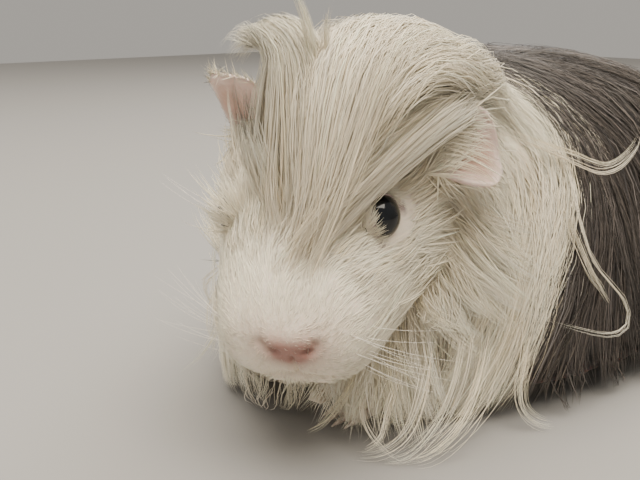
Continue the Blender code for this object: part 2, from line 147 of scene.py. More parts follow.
def mixed(first: Array | Triple, second: Array | Triple, share: Array) -> Array:
    """A blend that is the first value at share 0 and the second at 1."""
    return np.asarray(first) * (1 - share) + np.asarray(second) * share


def bell(away: Array, power: int = 2) -> Array:
    """A soft bump: 1 where away is 0, and nearly nothing from 2 on."""
    return np.exp(-(away**power))


def read_along(tables: Array, at: Array, own: Array) -> Array:
    """Rows of tables, read between whole row numbers.

    Args:
        tables: Any number of tables.
        at: The wanted row numbers, one line for each result.
        own: Which table each line reads.

    Returns:
        The blended rows.
    """
    low = np.minimum(at.astype(int), tables.shape[1] - 2)
    rows = own[:, None]
    return mixed(tables[rows, low], tables[rows, low + 1], (at - low)[:, :, None])


def ring_shape(count: int, power: float) -> tuple[Array, Array]:
    """How far across and up the points of a ring lie: a circle at power 1, and squarer below it."""
    angle = np.arange(count) * 2 * math.pi / count
    cos, sin = np.cos(angle), np.sin(angle)
    return np.sign(cos) * np.abs(cos) ** power, np.sign(sin) * np.abs(sin) ** power


def reach_of(across: Array, up: Array, squareness: float) -> Array:
    """How far out places are in a rounded box whose sides are 1 from its middle."""
    return (np.abs(across) ** squareness + np.abs(up) ** squareness) ** (1 / squareness)


def ripple(points: Array, scale: float, seed: int) -> Array:
    """A smooth random value between about -1 and 1 for each point.

    Args:
        points: Places, in millimetres.
        scale: The size of the ripples, in millimetres.
        seed: Picks the pattern.

    Returns:
        One value for each point.
    """
    rng, total, finer = np.random.default_rng(seed), np.zeros(points.shape[:-1]), 1.9
    for octave in range(3):
        for _ in range(3):
            way = unit(rng.normal(size=3)) * (FULL_TURN / scale) * finer**octave
            total += np.sin(points @ way + rng.uniform(0, FULL_TURN)) / finer**octave
    return total / 3.2


@dataclass(frozen=True)
class Profile:
    """A smooth curve through a few (station, value) pairs."""

    pairs: tuple[Pair, ...]

    def at(self, station: Array | float) -> Array:
        """The curve's value at one or many stations.

        Args:
            station: Where to read the curve.

        Returns:
            The values, held level past both ends.
        """
        x, y = np.array(self.pairs, float).T
        station = np.clip(np.asarray(station, float), x[0], x[-1])
        slope = np.empty_like(y)
        slope[1:-1] = (y[2:] - y[:-2]) / (x[2:] - x[:-2])
        slope[0] = (y[1] - y[0]) / (x[1] - x[0])
        slope[-1] = (y[-1] - y[-2]) / (x[-1] - x[-2])
        k = np.clip(np.searchsorted(x, station, side="right") - 1, 0, len(x) - 2)
        step = x[k + 1] - x[k]
        t = (station - x[k]) / step
        return (
            y[k] * (2 * t**3 - 3 * t**2 + 1)
            + slope[k] * step * (t**3 - 2 * t**2 + t)
            + y[k + 1] * (3 * t**2 - 2 * t**3)
            + slope[k + 1] * step * (t**3 - t**2)
        )


def curve(table: Table, share: Array) -> Array:
    """A smooth curve through a table's rows, at places between whole row numbers."""
    return np.stack([Profile(tuple(enumerate(column))).at(share) for column in zip(*table)], axis=1)


def turn_matrix(pitch: float, yaw: float, roll: float) -> Array:
    """The head's turn from its own frame to the body's.

    Args:
        pitch: Degrees nose down.
        yaw: Degrees to the animal's left.
        roll: Degrees left side up.

    Returns:
        A 3 by 3 matrix.
    """
    turns = [Matrix.Rotation(math.radians(angle), 3, axis) for angle, axis in ((yaw, "Z"), (pitch, "X"), (-roll, "Y"))]
    return np.array(turns[0] @ turns[1] @ turns[2])


# --- the animal's own frames ---
@dataclass(frozen=True)
class Pose:
    """How the head is held, and where its frame and the body's frame lie in the model."""

    turn: Array
    origin: Array
    shift: Array

    NECK_IN_HEAD = np.array((0.0, 62.0, 0.0))
    NECK_ON_BODY = np.array((6.0, 30.0, 66.0))
    EYES_IN_HEAD = np.array((0.0, 33.5, 14.5))

    @classmethod
    def from_eyes(cls) -> Pose:
        """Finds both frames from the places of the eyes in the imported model."""
        turn = turn_matrix(33.0, 32.0, 4.0)
        corners = [np.array(corner) for name in ("eye_left", "eye_right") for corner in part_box(name)]
        middle = np.mean(corners, axis=0) / MM
        on_body = cls.NECK_ON_BODY + turn @ (cls.EYES_IN_HEAD - cls.NECK_IN_HEAD)
        return cls(turn, middle - turn @ cls.EYES_IN_HEAD, middle - on_body)

    def from_head(self, points: Array) -> Array:
        """Points of the head's frame in the model."""
        return np.asarray(points, float) @ self.turn.T + self.origin

    def to_head(self, points: Array) -> Array:
        """Points of the model in the head's frame: x left, y back from the nose, z up."""
        return (np.asarray(points, float) - self.origin) @ self.turn

    def from_body(self, points: Array) -> Array:
        """Points of the body's frame in the model."""
        return np.asarray(points, float) + self.shift

    def to_body(self, points: Array) -> Array:
        """Points of the model in the body's frame."""
        return np.asarray(points, float) - self.shift


@dataclass(frozen=True)
class HeadForm:
    """The head's outer form as sections across it, in the head's frame."""

    top: Profile = Profile(
        ((0, 3.5), (2, 8.5), (6, 12.5), (14, 17), (26, 22), (38, 26.5), (50, 29), (62, 28), (74, 21), (80, 8))
    )
    bottom: Profile = Profile(
        ((0, -5.5), (2, -11.5), (6, -16), (14, -20), (26, -23), (38, -24.5), (50, -25), (62, -23), (74, -17), (80, -5))
    )
    half_width: Profile = Profile(
        ((0, 8), (2, 14.5), (6, 19), (14, 22.8), (26, 26.6), (38, 30.4), (50, 32.2), (62, 31), (74, 23.5), (80, 8))
    )
    coat_depth: Profile = Profile(((0, 0.9), (6, 1.5), (20, 2.4), (40, 3.6), (60, 5.5), (80, 7.0)))
    length: float = 80.0
    squareness: float = 2.45
    widening: float = 0.10  # how much wider the head is below, from the taper's distance back from the nose on
    taper: float = 30.0

    def section(self, back: float, count: int, inset: float = 0.0) -> Array:
        """One ring of points round the head.

        Args:
            back: Distance back from the nose.
            count: Number of points.
            inset: Distance inside the outer form.

        Returns:
            The points in the head's frame.
        """
        across, up = ring_shape(count, 2.0 / self.squareness)
        top, bottom = self.top.at(back), self.bottom.at(back)
        half, rise = max(0.8, self.half_width.at(back) - inset), max(0.8, (top - bottom) / 2 - inset)
        width = half * (1.0 - self.widening * up * min(1.0, back / self.taper))
        return np.stack([width * across, np.full(count, back), (top + bottom) / 2 + rise * up], axis=1)

    def nearness(self, points: Array) -> Array:
        """How far out points are: 1 on the outer form, less inside it."""
        back = np.clip(points[..., 1], 0.0, self.length)
        top, bottom = self.top.at(back), self.bottom.at(back)
        up = (points[..., 2] - (top + bottom) / 2) / ((top - bottom) / 2)
        narrowing = self.widening * np.clip(up, -1, 1) * np.minimum(1.0, back / self.taper)
        across = points[..., 0] / (self.half_width.at(back) * (1.0 - narrowing))
        past = np.maximum(0.0, np.maximum(-points[..., 1], points[..., 1] - self.length)) / 10.0
        return reach_of(across, up, self.squareness) + past


@dataclass(frozen=True)
class BodyForm:
    """The dome of the long coat, and the body inside it, as stations along the bent spine in the body's frame."""

    top: Profile = Profile(
        (
            (5, 38), (9, 62), (16, 81), (28, 92), (44, 97), (64, 99.5), (100, 100.5),
            (130, 98), (165, 91), (190, 80), (208, 64), (222, 42), (229, 20),
        )
    )
    half_width: Profile = Profile(
        (
            (5, 13), (9, 23), (16, 33), (28, 43), (44, 54), (64, 61),
            (100, 67), (145, 68), (180, 63), (205, 51), (222, 31), (229, 12),
        )
    )
    skin_top: Profile = Profile(
        ((18, 62), (26, 76), (40, 86), (64, 90), (100, 91), (140, 88), (175, 79), (198, 63), (211, 44))
    )
    skin_bottom: Profile = Profile(
        ((18, 48), (26, 38), (40, 26), (64, 20), (100, 16), (140, 15), (175, 17), (198, 24), (211, 34))
    )
    skin_half: Profile = Profile(
        ((18, 8), (26, 24), (40, 34), (64, 41), (100, 47), (140, 50), (175, 45), (198, 31), (211, 9))
    )
    squareness: float = 2.55
    roundness: float = 0.92
    floor: float = 0.9
    ends: Pair = (5.0, 229.0)
    neck_end: float = 64.0
    bend: float = 110.0
    turn: float = math.radians(32.0)

    def spine(self, station: Array | float) -> tuple[Array, Array, Array]:
        """The spine's place, and the directions to the left and back, at each station."""
        station = np.asarray(station, float)
        angle = np.clip((self.neck_end - station) / self.bend, 0.0, self.turn)
        straight = np.maximum(0.0, self.neck_end - self.bend * self.turn - station)
        x = self.bend * (1 - np.cos(angle)) + straight * np.sin(angle)
        y = self.neck_end - self.bend * np.sin(angle) + np.maximum(0.0, station - self.neck_end)
        y = y - straight * np.cos(angle)
        nothing = np.zeros_like(x)
        left = np.stack([np.cos(angle), np.sin(angle), nothing], axis=-1)
        back = np.stack([-np.sin(angle), np.cos(angle), nothing], axis=-1)
        return np.stack([x, y, nothing], axis=-1), left, back

    def station_of(self, points: Array) -> Array:
        """The station of each point of the body's frame."""
        x, y = points[..., 0], points[..., 1]
        angle = np.arctan2(self.neck_end - y, self.bend - x)
        bent = self.neck_end - self.bend * np.clip(angle, 0.0, self.turn)
        place, _, back = self.spine(bent)
        along = ((points - place) * back)[..., :2].sum(-1)
        return np.where(y > self.neck_end, y, np.where(angle > self.turn, bent + along, bent))

    def nearness(self, points: Array) -> Array:
        """How far out points are: 1 on the dome, less inside it."""
        station = self.station_of(points)
        place, left, _ = self.spine(station)
        across = ((points - place) * left).sum(-1) / self.half_width.at(station)
        up = np.maximum(0.0, points[..., 2] - self.floor) / (self.top.at(station) - self.floor)
        past = np.maximum(0.0, np.maximum(self.ends[0] - station, station - self.ends[1])) / 10.0
        return reach_of(across, up, self.squareness) + past

    def skin_section(self, station: float, count: int) -> Array:
        """One ring of the body inside the coat."""
        across, up = ring_shape(count, self.roundness)
        place, left, _ = self.spine(station)
        top, bottom = self.skin_top.at(station), self.skin_bottom.at(station)
        ring = place + left * (self.skin_half.at(station) * across)[:, None]
        ring[:, 2] = (top + bottom) / 2 + (top - bottom) / 2 * up
        return ring


@dataclass(frozen=True)
class Tuft:
    """A tuft of the crest: its middle line in the head's frame, and its half sizes across and square to that."""

    path: tuple[Triple, ...]
    sizes: tuple[Pair, ...]

    def line(self, count: int) -> tuple[Array, Array]:
        """Points along the middle line, and the half sizes there."""
        share = np.linspace(0, len(self.path) - 1, count)
        return curve(self.path, share), curve(self.sizes, share)

    def frame(self, count: int) -> tuple[Array, Array, Array, Array]:
        """The middle line and half sizes, and the directions across the tuft and square to that."""
        line, size = self.line(count)
        along = unit(np.gradient(line, axis=0))
        rise = unit(np.cross((1.0, 0.0, 0.0), along))
        return line, size, np.cross(along, rise), rise


def tuft_gaps(points: Array, line: Array, size: Array) -> Array:
    """How far each point is from each place on a tuft's middle line, in half sizes of the tuft."""
    return np.linalg.norm(points[:, None] - line[None], axis=2) / size.mean(axis=1)


CREST_LEFT = Tuft(
    ((8, 33, 19), (9, 39, 29.5), (10.5, 48, 39.5), (14, 57, 42), (21, 66, 36), (29.5, 74, 22.5), (35, 84, 8)),
    ((6, 3.5), (11, 7), (14, 10), (15.5, 11), (15, 10.5), (13, 8.5), (9, 6)),
)
CREST_RIGHT = Tuft(
    ((-5.5, 33, 19), (-6, 38, 28), (-6.5, 44, 38), (-7.5, 50, 44.5), (-9.5, 55, 44), (-11, 58, 37)),
    ((6, 3.5), (7.5, 7), (8.5, 9.5), (9, 9), (8, 6.5), (6, 4)),
)
CREST_FLOP = Tuft(
    (
        (-1, 34, 20), (0, 42, 33), (1, 49, 43), (0.5, 54, 49),
        (-3.5, 56.5, 51.5), (-8.5, 58, 52), (-13, 58.5, 50.5), (-16, 58, 47),
    ),
    ((10, 3.5), (11, 5), (10, 5.5), (8, 5), (5.5, 3.8), (4, 2.6), (2.6, 1.7), (1.4, 1.0)),
)
BROW_SWEEP = Tuft(
    ((0, 22, 15), (8, 29, 22.5), (16, 38, 27), (25, 48, 28.5), (32, 58.5, 25.5), (38, 68, 16)),
    ((5, 2), (7, 2.5), (8, 3), (8, 4.5), (8, 6), (7, 6)),
)
WISPS = (
    Tuft(
        ((6, 44, 33), (6.5, 49, 43), (6.5, 52, 52), (5.5, 54, 60), (3.5, 55, 66)),
        ((3.2, 2.6), (2.4, 1.9), (1.6, 1.3), (1.1, 0.9), (0.3, 0.3)),
    ),
    Tuft(
        ((7, 44, 33), (8, 49, 42), (9, 52, 50), (10.5, 54, 57), (13, 55, 62)),
        ((3.0, 2.4), (2.2, 1.8), (1.5, 1.2), (1.0, 0.8), (0.3, 0.3)),
    ),
)


@dataclass(frozen=True)
class LooseLock:
    """A thin lock that hangs free of the coat: its path in the body's frame, and its hairs."""

    path: tuple[Triple, ...]
    hairs: int
    spread: float
    half_width: float = 0.085


THROAT = (
    ((-8, 24, -20), (4, 9, 1.2)),
    ((0, 27, -22), (14, 8, 1.2)),
    ((8, 30, -22), (27, 9, 1.2)),
    ((16, 38, -20), (39, 13, 1.2)),
    ((23, 46, -17), (49, 22, 1.2)),
)  # from the throat, in the head's frame, to the floor, in the body's frame
CHEEK = (
    ((25, 34, -14), (46, 30, 22)),
    ((28, 42, -10), (50, 38, 28)),
    ((30, 50, -6), (53, 46, 34)),
    ((30, 57, 0), (54, 54, 42)),
)  # from the cheek, in the head's frame, to the mane, in the body's frame
CHEEK_RIGHT = (
    ((-33, 43, -15), (-20, 7, 12)),
    ((-30, 36, -15), (-12, 4, 9)),
    ((-26, 28, -14), (-4, 2, 6)),
    ((-22, 21, -15), (5, 1, 5)),
)  # the same on the right
LOOSE_LOCKS = (
    LooseLock(
        ((44, 52, 82), (49, 64, 77), (52, 73, 74), (56, 76, 72), (58, 82, 70.5), (57.5, 92, 72.5), (56, 101, 77)),
        9, 0.6,
    ),
    LooseLock(
        ((44, 52, 80), (49, 65, 75), (53.5, 73, 71), (57.5, 78, 68.7), (59, 86, 69.6), (57.5, 97, 73), (55, 104, 77)),
        8, 0.5,
    ),
    LooseLock(
        (
            (46, 58, 80), (51, 71, 72), (57, 67, 63), (63, 67, 49), (65.4, 73.6, 41), (67.4, 80.5, 34),
            (68.2, 83, 27), (67.8, 78, 24.7), (66, 71.5, 25.7), (63, 63, 29), (58.5, 58, 31),
        ),
        9, 0.45, 0.11,
    ),
    LooseLock(((50, 66, 66), (56, 69, 55), (61.5, 71.7, 43), (64.4, 72.8, 38.5), (66.2, 76, 32.8)), 14, 1.4),
    LooseLock(((52, 58, 34), (55, 53, 20), (55.5, 51, 12.7), (57, 51, 6.5), (60, 54, 2.4), (64, 57, 1.8)), 22, 1.8),
    LooseLock(
        ((50, 60, 60), (53, 52.4, 38.6), (53, 48.8, 26), (51.5, 43, 15), (50, 34, 6), (49, 24, 2.4), (46.5, 14, 1.6)),
        24, 3.2,
    ),
    LooseLock(((31, 19, 20), (34, 12, 13), (38, 10, 8), (43, 11, 4), (48, 13, 1.8)), 8, 0.6, 0.11),
    LooseLock(((48, 34, 32), (51, 28, 22), (51, 22, 12), (48, 15, 4), (43, 9, 1.8)), 14, 2.2),
    LooseLock(((44, 26, 28), (47, 20, 18), (47, 15, 9), (43, 10, 3.5), (37, 5, 1.8)), 12, 2.0),
    LooseLock(((51, 42, 30), (54, 35, 20), (55, 27, 10), (52, 19, 3), (48, 12, 1.8)), 14, 2.4),
    LooseLock(((38, 22, 22), (41, 14, 14), (42, 10, 7), (39, 6, 3)), 12, 1.0),
    LooseLock(((30, 15, 22), (31, 8, 15), (29, 3, 9), (25, 0, 5)), 10, 0.8),
    LooseLock(((44, 24, 77), (49, 29, 76), (51.6, 36, 72.4), (53.2, 41, 66.4), (54, 44, 58.4)), 26, 5.0, 0.065),
    LooseLock(((43, 26, 82), (49, 32, 80.5), (52, 38.5, 77), (53.5, 43, 71), (54.5, 46, 63)), 12, 4.0, 0.065),
    LooseLock(((-46, 55, 78), (-56, 62, 62), (-62, 60, 44), (-65, 63, 26), (-63, 56, 12)), 12, 1.0),
)


@dataclass(frozen=True)
class Animal:
    """The forms that every piece is fitted to."""

    pose: Pose
    head: HeadForm = HeadForm()
    body: BodyForm = BodyForm()
    grey_edge: Profile = Profile(
        ((0, 30), (8, 36), (19, 46), (36, 59), (52, 67), (67, 72), (80, 72), (92, 69), (102, 64))
    )

    def greyness(self, points: Array) -> Array:
        """How grey the coat is at each place: 0 is white, over the head and mane, and 1 is grey.

        Args:
            points: Places in the model, in millimetres.

        Returns:
            A value from 0 to 1 for each point.
        """
        inside = self.pose.to_body(points)
        edge = self.grey_edge.at(inside[..., 2]) + 3.5 * ripple(points, 22.0, 5)
        return smooth((self.body.station_of(inside) - edge) / 10.0 + 0.35)


def nose_nearness(points: Array, size: float) -> Array:
    """How near places in the head's frame are to the bare nose, which is a V above the lips.

    Args:
        points: Places in the head's frame.
        size: Scales the nose's reach.

    Returns:
        A value from 0 to 1 for each point.
    """
    across = np.abs(points[..., 0] - NOSE_ASIDE)
    height = points[..., 2] - 3.6 - 0.30 * across
    away = (across / 7.0) ** 2 + (height / 3.6) ** 2 + (np.maximum(0.0, points[..., 1] - 1.0) / 5.0) ** 2
    return np.exp(-away / size**2)


# --- materials ---
class Nodes:
    """Adds nodes to a material and links them."""

    def __init__(self, name: str) -> None:
        """Starts a material that holds one Principled shader."""
        self.material = bpy.data.materials.new(name)
        self.material.use_nodes = True
        self.tree = self.material.node_tree
        self.shader = self.tree.nodes["Principled BSDF"]

    def add(self, kind: str, **values: object) -> bpy.types.Node:
        """Adds a node and sets its properties and sockets.

        Args:
            kind: The node's type, without the ShaderNode prefix.
            values: Properties by name, or sockets where the node has no such property.

        Returns:
            The node.
        """
        node = self.tree.nodes.new("ShaderNode" + kind)
        for name, value in values.items():
            if hasattr(node, name):
                setattr(node, name, value)
            else:
                node.inputs[name.replace("_", " ")].default_value = value
        return node

    def link(self, output: Socket, target: Socket) -> None:
        """Joins two sockets."""
        self.tree.links.new(output, target)

    def ramp(self, source: Socket, stops: tuple[tuple[float, Triple], ...]) -> Socket:
        """Turns a value into a colour.

        Args:
            source: The value.
            stops: Places along the ramp and their colours.

        Returns:
            The colour socket.
        """
        node = self.add("ValToRGB")
        elements = node.color_ramp.elements
        while len(elements) < len(stops):
            elements.new(0.5)
        for element, (place, colour) in zip(elements, stops):
            element.position = place
            element.color = (*colour, 1.0)
        self.link(source, node.inputs["Fac"])
        return node.outputs["Color"]

    def spread(self, source: Socket, low: Triple, high: Triple) -> Socket:
        """Turns a noise into colours from low to high."""
        return self.ramp(source, ((0.3, low), (0.7, high)))

    def noise(self, scale: float, detail: float, vector: Socket | None = None) -> Socket:
        """Adds a noise.

        Args:
            scale: How fine it is.
            detail: How many finer layers it has.
            vector: Where it is read, or nothing for the object's own coordinates.

        Returns:
            Its value.
        """
        node = self.add("TexNoise", Scale=scale, Detail=detail)
        self.link(vector or self.add("TexCoord").outputs["Object"], node.inputs["Vector"])
        return node.outputs["Fac"]

    def stretched(self, source: Socket, **values: Triple) -> Socket:
        """Coordinates turned and scaled by a Mapping node."""
        node = self.add("Mapping", **values)
        self.link(source, node.inputs["Vector"])
        return node.outputs["Vector"]

    def tint(self, colour: Socket, shade: Socket) -> None:
        """Gives the shader a colour multiplied by a shade."""
        mix = self.add("Mix", data_type="RGBA", blend_type="MULTIPLY")
        mix.inputs[0].default_value = 1.0
        self.link(colour, mix.inputs[6])
        self.link(shade, mix.inputs[7])
        self.link(mix.outputs[2], self.shader.inputs["Base Color"])

    def bump(self, height: Socket, strength: float, distance: float) -> None:
        """Roughens the surface by a height, given a strength and a depth in metres."""
        node = self.add("Bump", Strength=strength, Distance=distance)
        self.link(height, node.inputs["Height"])
        self.link(node.outputs["Normal"], self.shader.inputs["Normal"])

    def done(self, **values: object) -> Material:
        """The material, once sockets of the shader are set, named with _ for a space."""
        for name, value in values.items():
            self.shader.inputs[name.replace("_", " ")].default_value = value
        return self.material


@dataclass(frozen=True)
class HairFinish:
    """Hair: its colour comes from each strand, with fine streaks along it."""

    name: str
    roughness: float = 0.42
    sheen: float = 0.3
    streak: float = 0.09
    stretch: Triple = (9.0, 1.4, 1.0)

    def make(self) -> Material:
        """Builds the material."""
        nodes = Nodes(self.name)
        colour = nodes.add("Attribute", attribute_name="hair_colour").outputs["Color"]
        place = nodes.add("UVMap", uv_map="Strand").outputs["UV"]
        streaks = nodes.noise(1.0, 2.0, nodes.stretched(place, Scale=self.stretch))
        nodes.tint(colour, nodes.spread(streaks, (1.0 - self.streak,) * 3, (1.0 + self.streak * 0.6,) * 3))
        nodes.bump(streaks, 0.25, 0.0002)
        return nodes.done(
            Roughness=self.roughness, Sheen_Weight=self.sheen, Sheen_Roughness=0.4, Specular_IOR_Level=0.35
        )


@dataclass(frozen=True)
class SkinFinish:
    """Skin under the coat: its markings come from the mesh, with fine fur as bump."""

    name: str = "skin_finish"
    turn: Triple = (math.radians(-33), 0.0, math.radians(-32))
    stretch: Triple = (1800.0, 420.0, 1100.0)
    blotch: Triple = (0.88, 0.85, 0.84)

    def make(self) -> Material:
        """Builds the material."""
        nodes = Nodes(self.name)
        colour = nodes.add("Attribute", attribute_name="skin_colour").outputs["Color"]
        place = nodes.add("TexCoord").outputs["Object"]
        fur = nodes.noise(1.0, 4.0, nodes.stretched(place, Rotation=self.turn, Scale=self.stretch))
        nodes.tint(colour, nodes.spread(nodes.noise(160.0, 3.0, place), self.blotch, (1.0, 1.0, 1.0)))
        nodes.bump(fur, 0.5, 0.0004)
        return nodes.done(Roughness=0.55, Sheen_Weight=0.2, Subsurface_Weight=0.08, Subsurface_Scale=0.002)


@dataclass(frozen=True)
class EyeFinish:
    """A wet, nearly black eye with a dark iris whose faint blue-grey tint is painted sheen."""

    name: str = "eye_finish"
    # Rings out from the eye's axis: pupil, iris and its dark edge; the iris's faint blue-grey tint is painted sheen.
    rings: tuple[tuple[float, Triple], ...] = (
        (0.00, (0.002, 0.002, 0.003)),
        (0.26, (0.002, 0.003, 0.004)),
        (0.34, (0.006, 0.008, 0.011)),
        (0.62, (0.008, 0.010, 0.014)),
        (0.80, (0.003, 0.003, 0.004)),
    )

    def make(self) -> Material:
        """Builds the material."""
        nodes = Nodes(self.name)
        iris = nodes.ramp(nodes.add("Attribute", attribute_name="from_axis").outputs["Fac"], self.rings)
        nodes.tint(iris, nodes.spread(nodes.noise(900.0, 3.0), (0.6, 0.6, 0.6), (1.0, 1.0, 1.0)))
        return nodes.done(Roughness=0.10, Coat_Weight=0.25, Coat_Roughness=0.03, Specular_IOR_Level=0.28)


@dataclass(frozen=True)
class HornFinish:
    """Pale, slightly translucent horn with growth lines."""

    name: str = "horn_finish"

    def make(self) -> Material:
        """Builds the material."""
        nodes = Nodes(self.name)
        lines = nodes.noise(700.0, 3.0)
        nodes.link(nodes.spread(lines, (0.50, 0.40, 0.33), (0.78, 0.68, 0.58)), nodes.shader.inputs["Base Color"])
        nodes.bump(lines, 0.3, 0.0002)
        return nodes.done(Roughness=0.35, Coat_Weight=0.2, Subsurface_Weight=0.1, Subsurface_Scale=0.001)


@dataclass(frozen=True)
class FloorFinish:
    """A plain pale floor."""

    name: str = "floor_finish"
    colour: Triple = (0.30, 0.292, 0.28)

    def make(self) -> Material:
        """Builds the material."""
        return Nodes(self.name).done(Base_Color=(*self.colour, 1.0), Roughness=0.85)


# --- meshes ---
def placed(name: str, data: bpy.types.ID) -> Object:
    """Puts a new object in the scene."""
    made = bpy.data.objects.new(name, data)
    bpy.context.scene.collection.objects.link(made)
    return made


def resize(bm: BMesh, factor: float) -> None:
    """Scales a whole bmesh, as from metres to millimetres and back."""
    bmesh.ops.scale(bm, vec=(factor,) * 3, verts=bm.verts)


def store(bm: BMesh, mesh: Mesh) -> None:
    """Writes a bmesh to a mesh, smoothly shaded, and frees it."""
    bm.to_mesh(mesh)
    bm.free()
    mesh.shade_smooth()


def pour(source: BMesh, target: BMesh) -> None:
    """Adds one bmesh to another, and frees it."""
    copy = bpy.data.meshes.new("copy")
    source.to_mesh(copy)
    source.free()
    target.from_mesh(copy)
    bpy.data.meshes.remove(copy)


def object_of(bm: BMesh, name: str) -> Object:
    """Turns a bmesh in millimetres into a smooth object in metres at the origin."""
    resize(bm, MM)
    mesh = bpy.data.meshes.new(name)
    store(bm, mesh)
    return placed(name, mesh)


def cad_copy(nodes: CadNodes, parts: tuple[str, ...]) -> BMesh:
    """CAD nodes as one bmesh in millimetres, with their loose triangles joined."""
    bm = bmesh.new()
    for part in parts:
        bm.from_mesh(nodes[part].data)
    bmesh.ops.remove_doubles(bm, verts=bm.verts, dist=SAME_PLACE)
    resize(bm, 1 / MM)
    return bm


def add_rings(bm: BMesh, rings: list[Array], closed: bool = False) -> None:
    """Lofts a closed shell through rings of points.

    Args:
        bm: The mesh that gets the shell.
        rings: Rings that all have the same count of points.
        closed: Whether the last ring joins the first, instead of both ends being capped.
    """
    loops = []
    for ring in rings:
        corners = [bm.verts.new(point) for point in ring]
        loops.append([bm.edges.new(pair) for pair in zip(corners, corners[1:] + corners[:1])])
    faces = []
    for near, far in zip(loops, loops[1:] + loops[:1] if closed else loops[1:]):
        faces += bmesh.ops.bridge_loops(bm, edges=near + far)["faces"]
    for end in () if closed else (loops[0], loops[-1]):
        faces += bmesh.ops.contextual_create(bm, geom=end)["faces"]
    bmesh.ops.recalc_face_normals(bm, faces=faces)


def surface_of(mesh: Mesh) -> tuple[Array, Array]:
    """A mesh's vertices in millimetres, and their normals."""
    tables = []
    for kind in ("co", "normal"):
        table = np.empty(len(mesh.vertices) * 3, np.float32)
        mesh.vertices.foreach_get(kind, table)
        tables.append(table.reshape(-1, 3).astype(float))
    return tables[0] / MM, tables[1]


def set_vertices(mesh: Mesh, places: Array) -> None:
    """Moves a mesh's vertices to places in millimetres."""
    mesh.vertices.foreach_set("co", (places * MM).astype(np.float32).ravel())
    mesh.update()


def triangle_array(mesh: Mesh) -> tuple[Array, Array]:
    """A mesh's triangles as vertex indices and as loop indices."""
    mesh.calc_loop_triangles()
    corners = np.empty(len(mesh.loop_triangles) * 3, np.int32)
    loops = np.empty_like(corners)
    mesh.loop_triangles.foreach_get("vertices", corners)
    mesh.loop_triangles.foreach_get("loops", loops)
    return corners.reshape(-1, 3), loops.reshape(-1, 3)


def tree_of(places: Array, faces: Array) -> BVHTree:
    """A tree that finds the place on a surface nearest to a point."""
    return BVHTree.FromPolygons([tuple(p) for p in places], [tuple(f) for f in faces])


def scatter(rng: Random, corners: Array, weight: Array, count: int) -> tuple[Array, Array]:
    """Picks random places on triangles.

    Args:
        rng: Gives the random numbers.
        corners: The triangles' corners.
        weight: How thickly the places lie on each triangle.
        count: Number of places.

    Returns:
        The triangle of each place, and how much it takes from each corner.
    """
    area = np.linalg.norm(np.cross(corners[:, 1] - corners[:, 0], corners[:, 2] - corners[:, 0]), axis=1)
    chance = area * weight
    picked = rng.choice(len(area), size=count, p=chance / chance.sum())
    return picked, rng.dirichlet((1.0, 1.0, 1.0), size=count)[:, :, None]


def paint(mesh: Mesh, name: str, colours: Array) -> None:
    """Stores a colour for each vertex."""
    layer = mesh.color_attributes.new(name=name, type="FLOAT_COLOR", domain="POINT")
    whole = np.ones((len(colours), 4), np.float32)
    whole[:, :3] = colours
    layer.data.foreach_set("color", whole.ravel())


def remesh(made: Object, voxel: float, rounds: int) -> None:
    """Makes overlapping shells one soft shell.

    Args:
        made: The object that gets the modifiers.
        voxel: The size of its new faces, in millimetres.
        rounds: How often it is smoothed.
    """
    whole = made.modifiers.new("whole", "REMESH")
    whole.mode = "VOXEL"
    whole.voxel_size = voxel * MM
    soften = made.modifiers.new("soften", "SMOOTH")
    soften.factor = 0.5
    soften.iterations = rounds


def applied(made: Object) -> Object:
    """Applies an object's modifiers."""
    bpy.context.view_layer.update()
    graph = bpy.context.evaluated_depsgraph_get()
    mesh = bpy.data.meshes.new_from_object(made.evaluated_get(graph))
    made.modifiers.clear()
    old, made.data = made.data, mesh
    bpy.data.meshes.remove(old)
    mesh.name = made.name
    return made


def unwrap(piece: Object) -> None:
    """Lays a piece's own shape out flat."""
    for other in bpy.context.selected_objects:
        other.select_set(False)
    bpy.context.view_layer.objects.active = piece
    piece.select_set(True)
    bpy.ops.object.mode_set(mode="EDIT")
    bpy.ops.mesh.select_all(action="SELECT")
    bpy.ops.uv.smart_project(angle_limit=math.radians(75), island_margin=0.002)
    bpy.ops.object.mode_set(mode="OBJECT")
    piece.select_set(False)


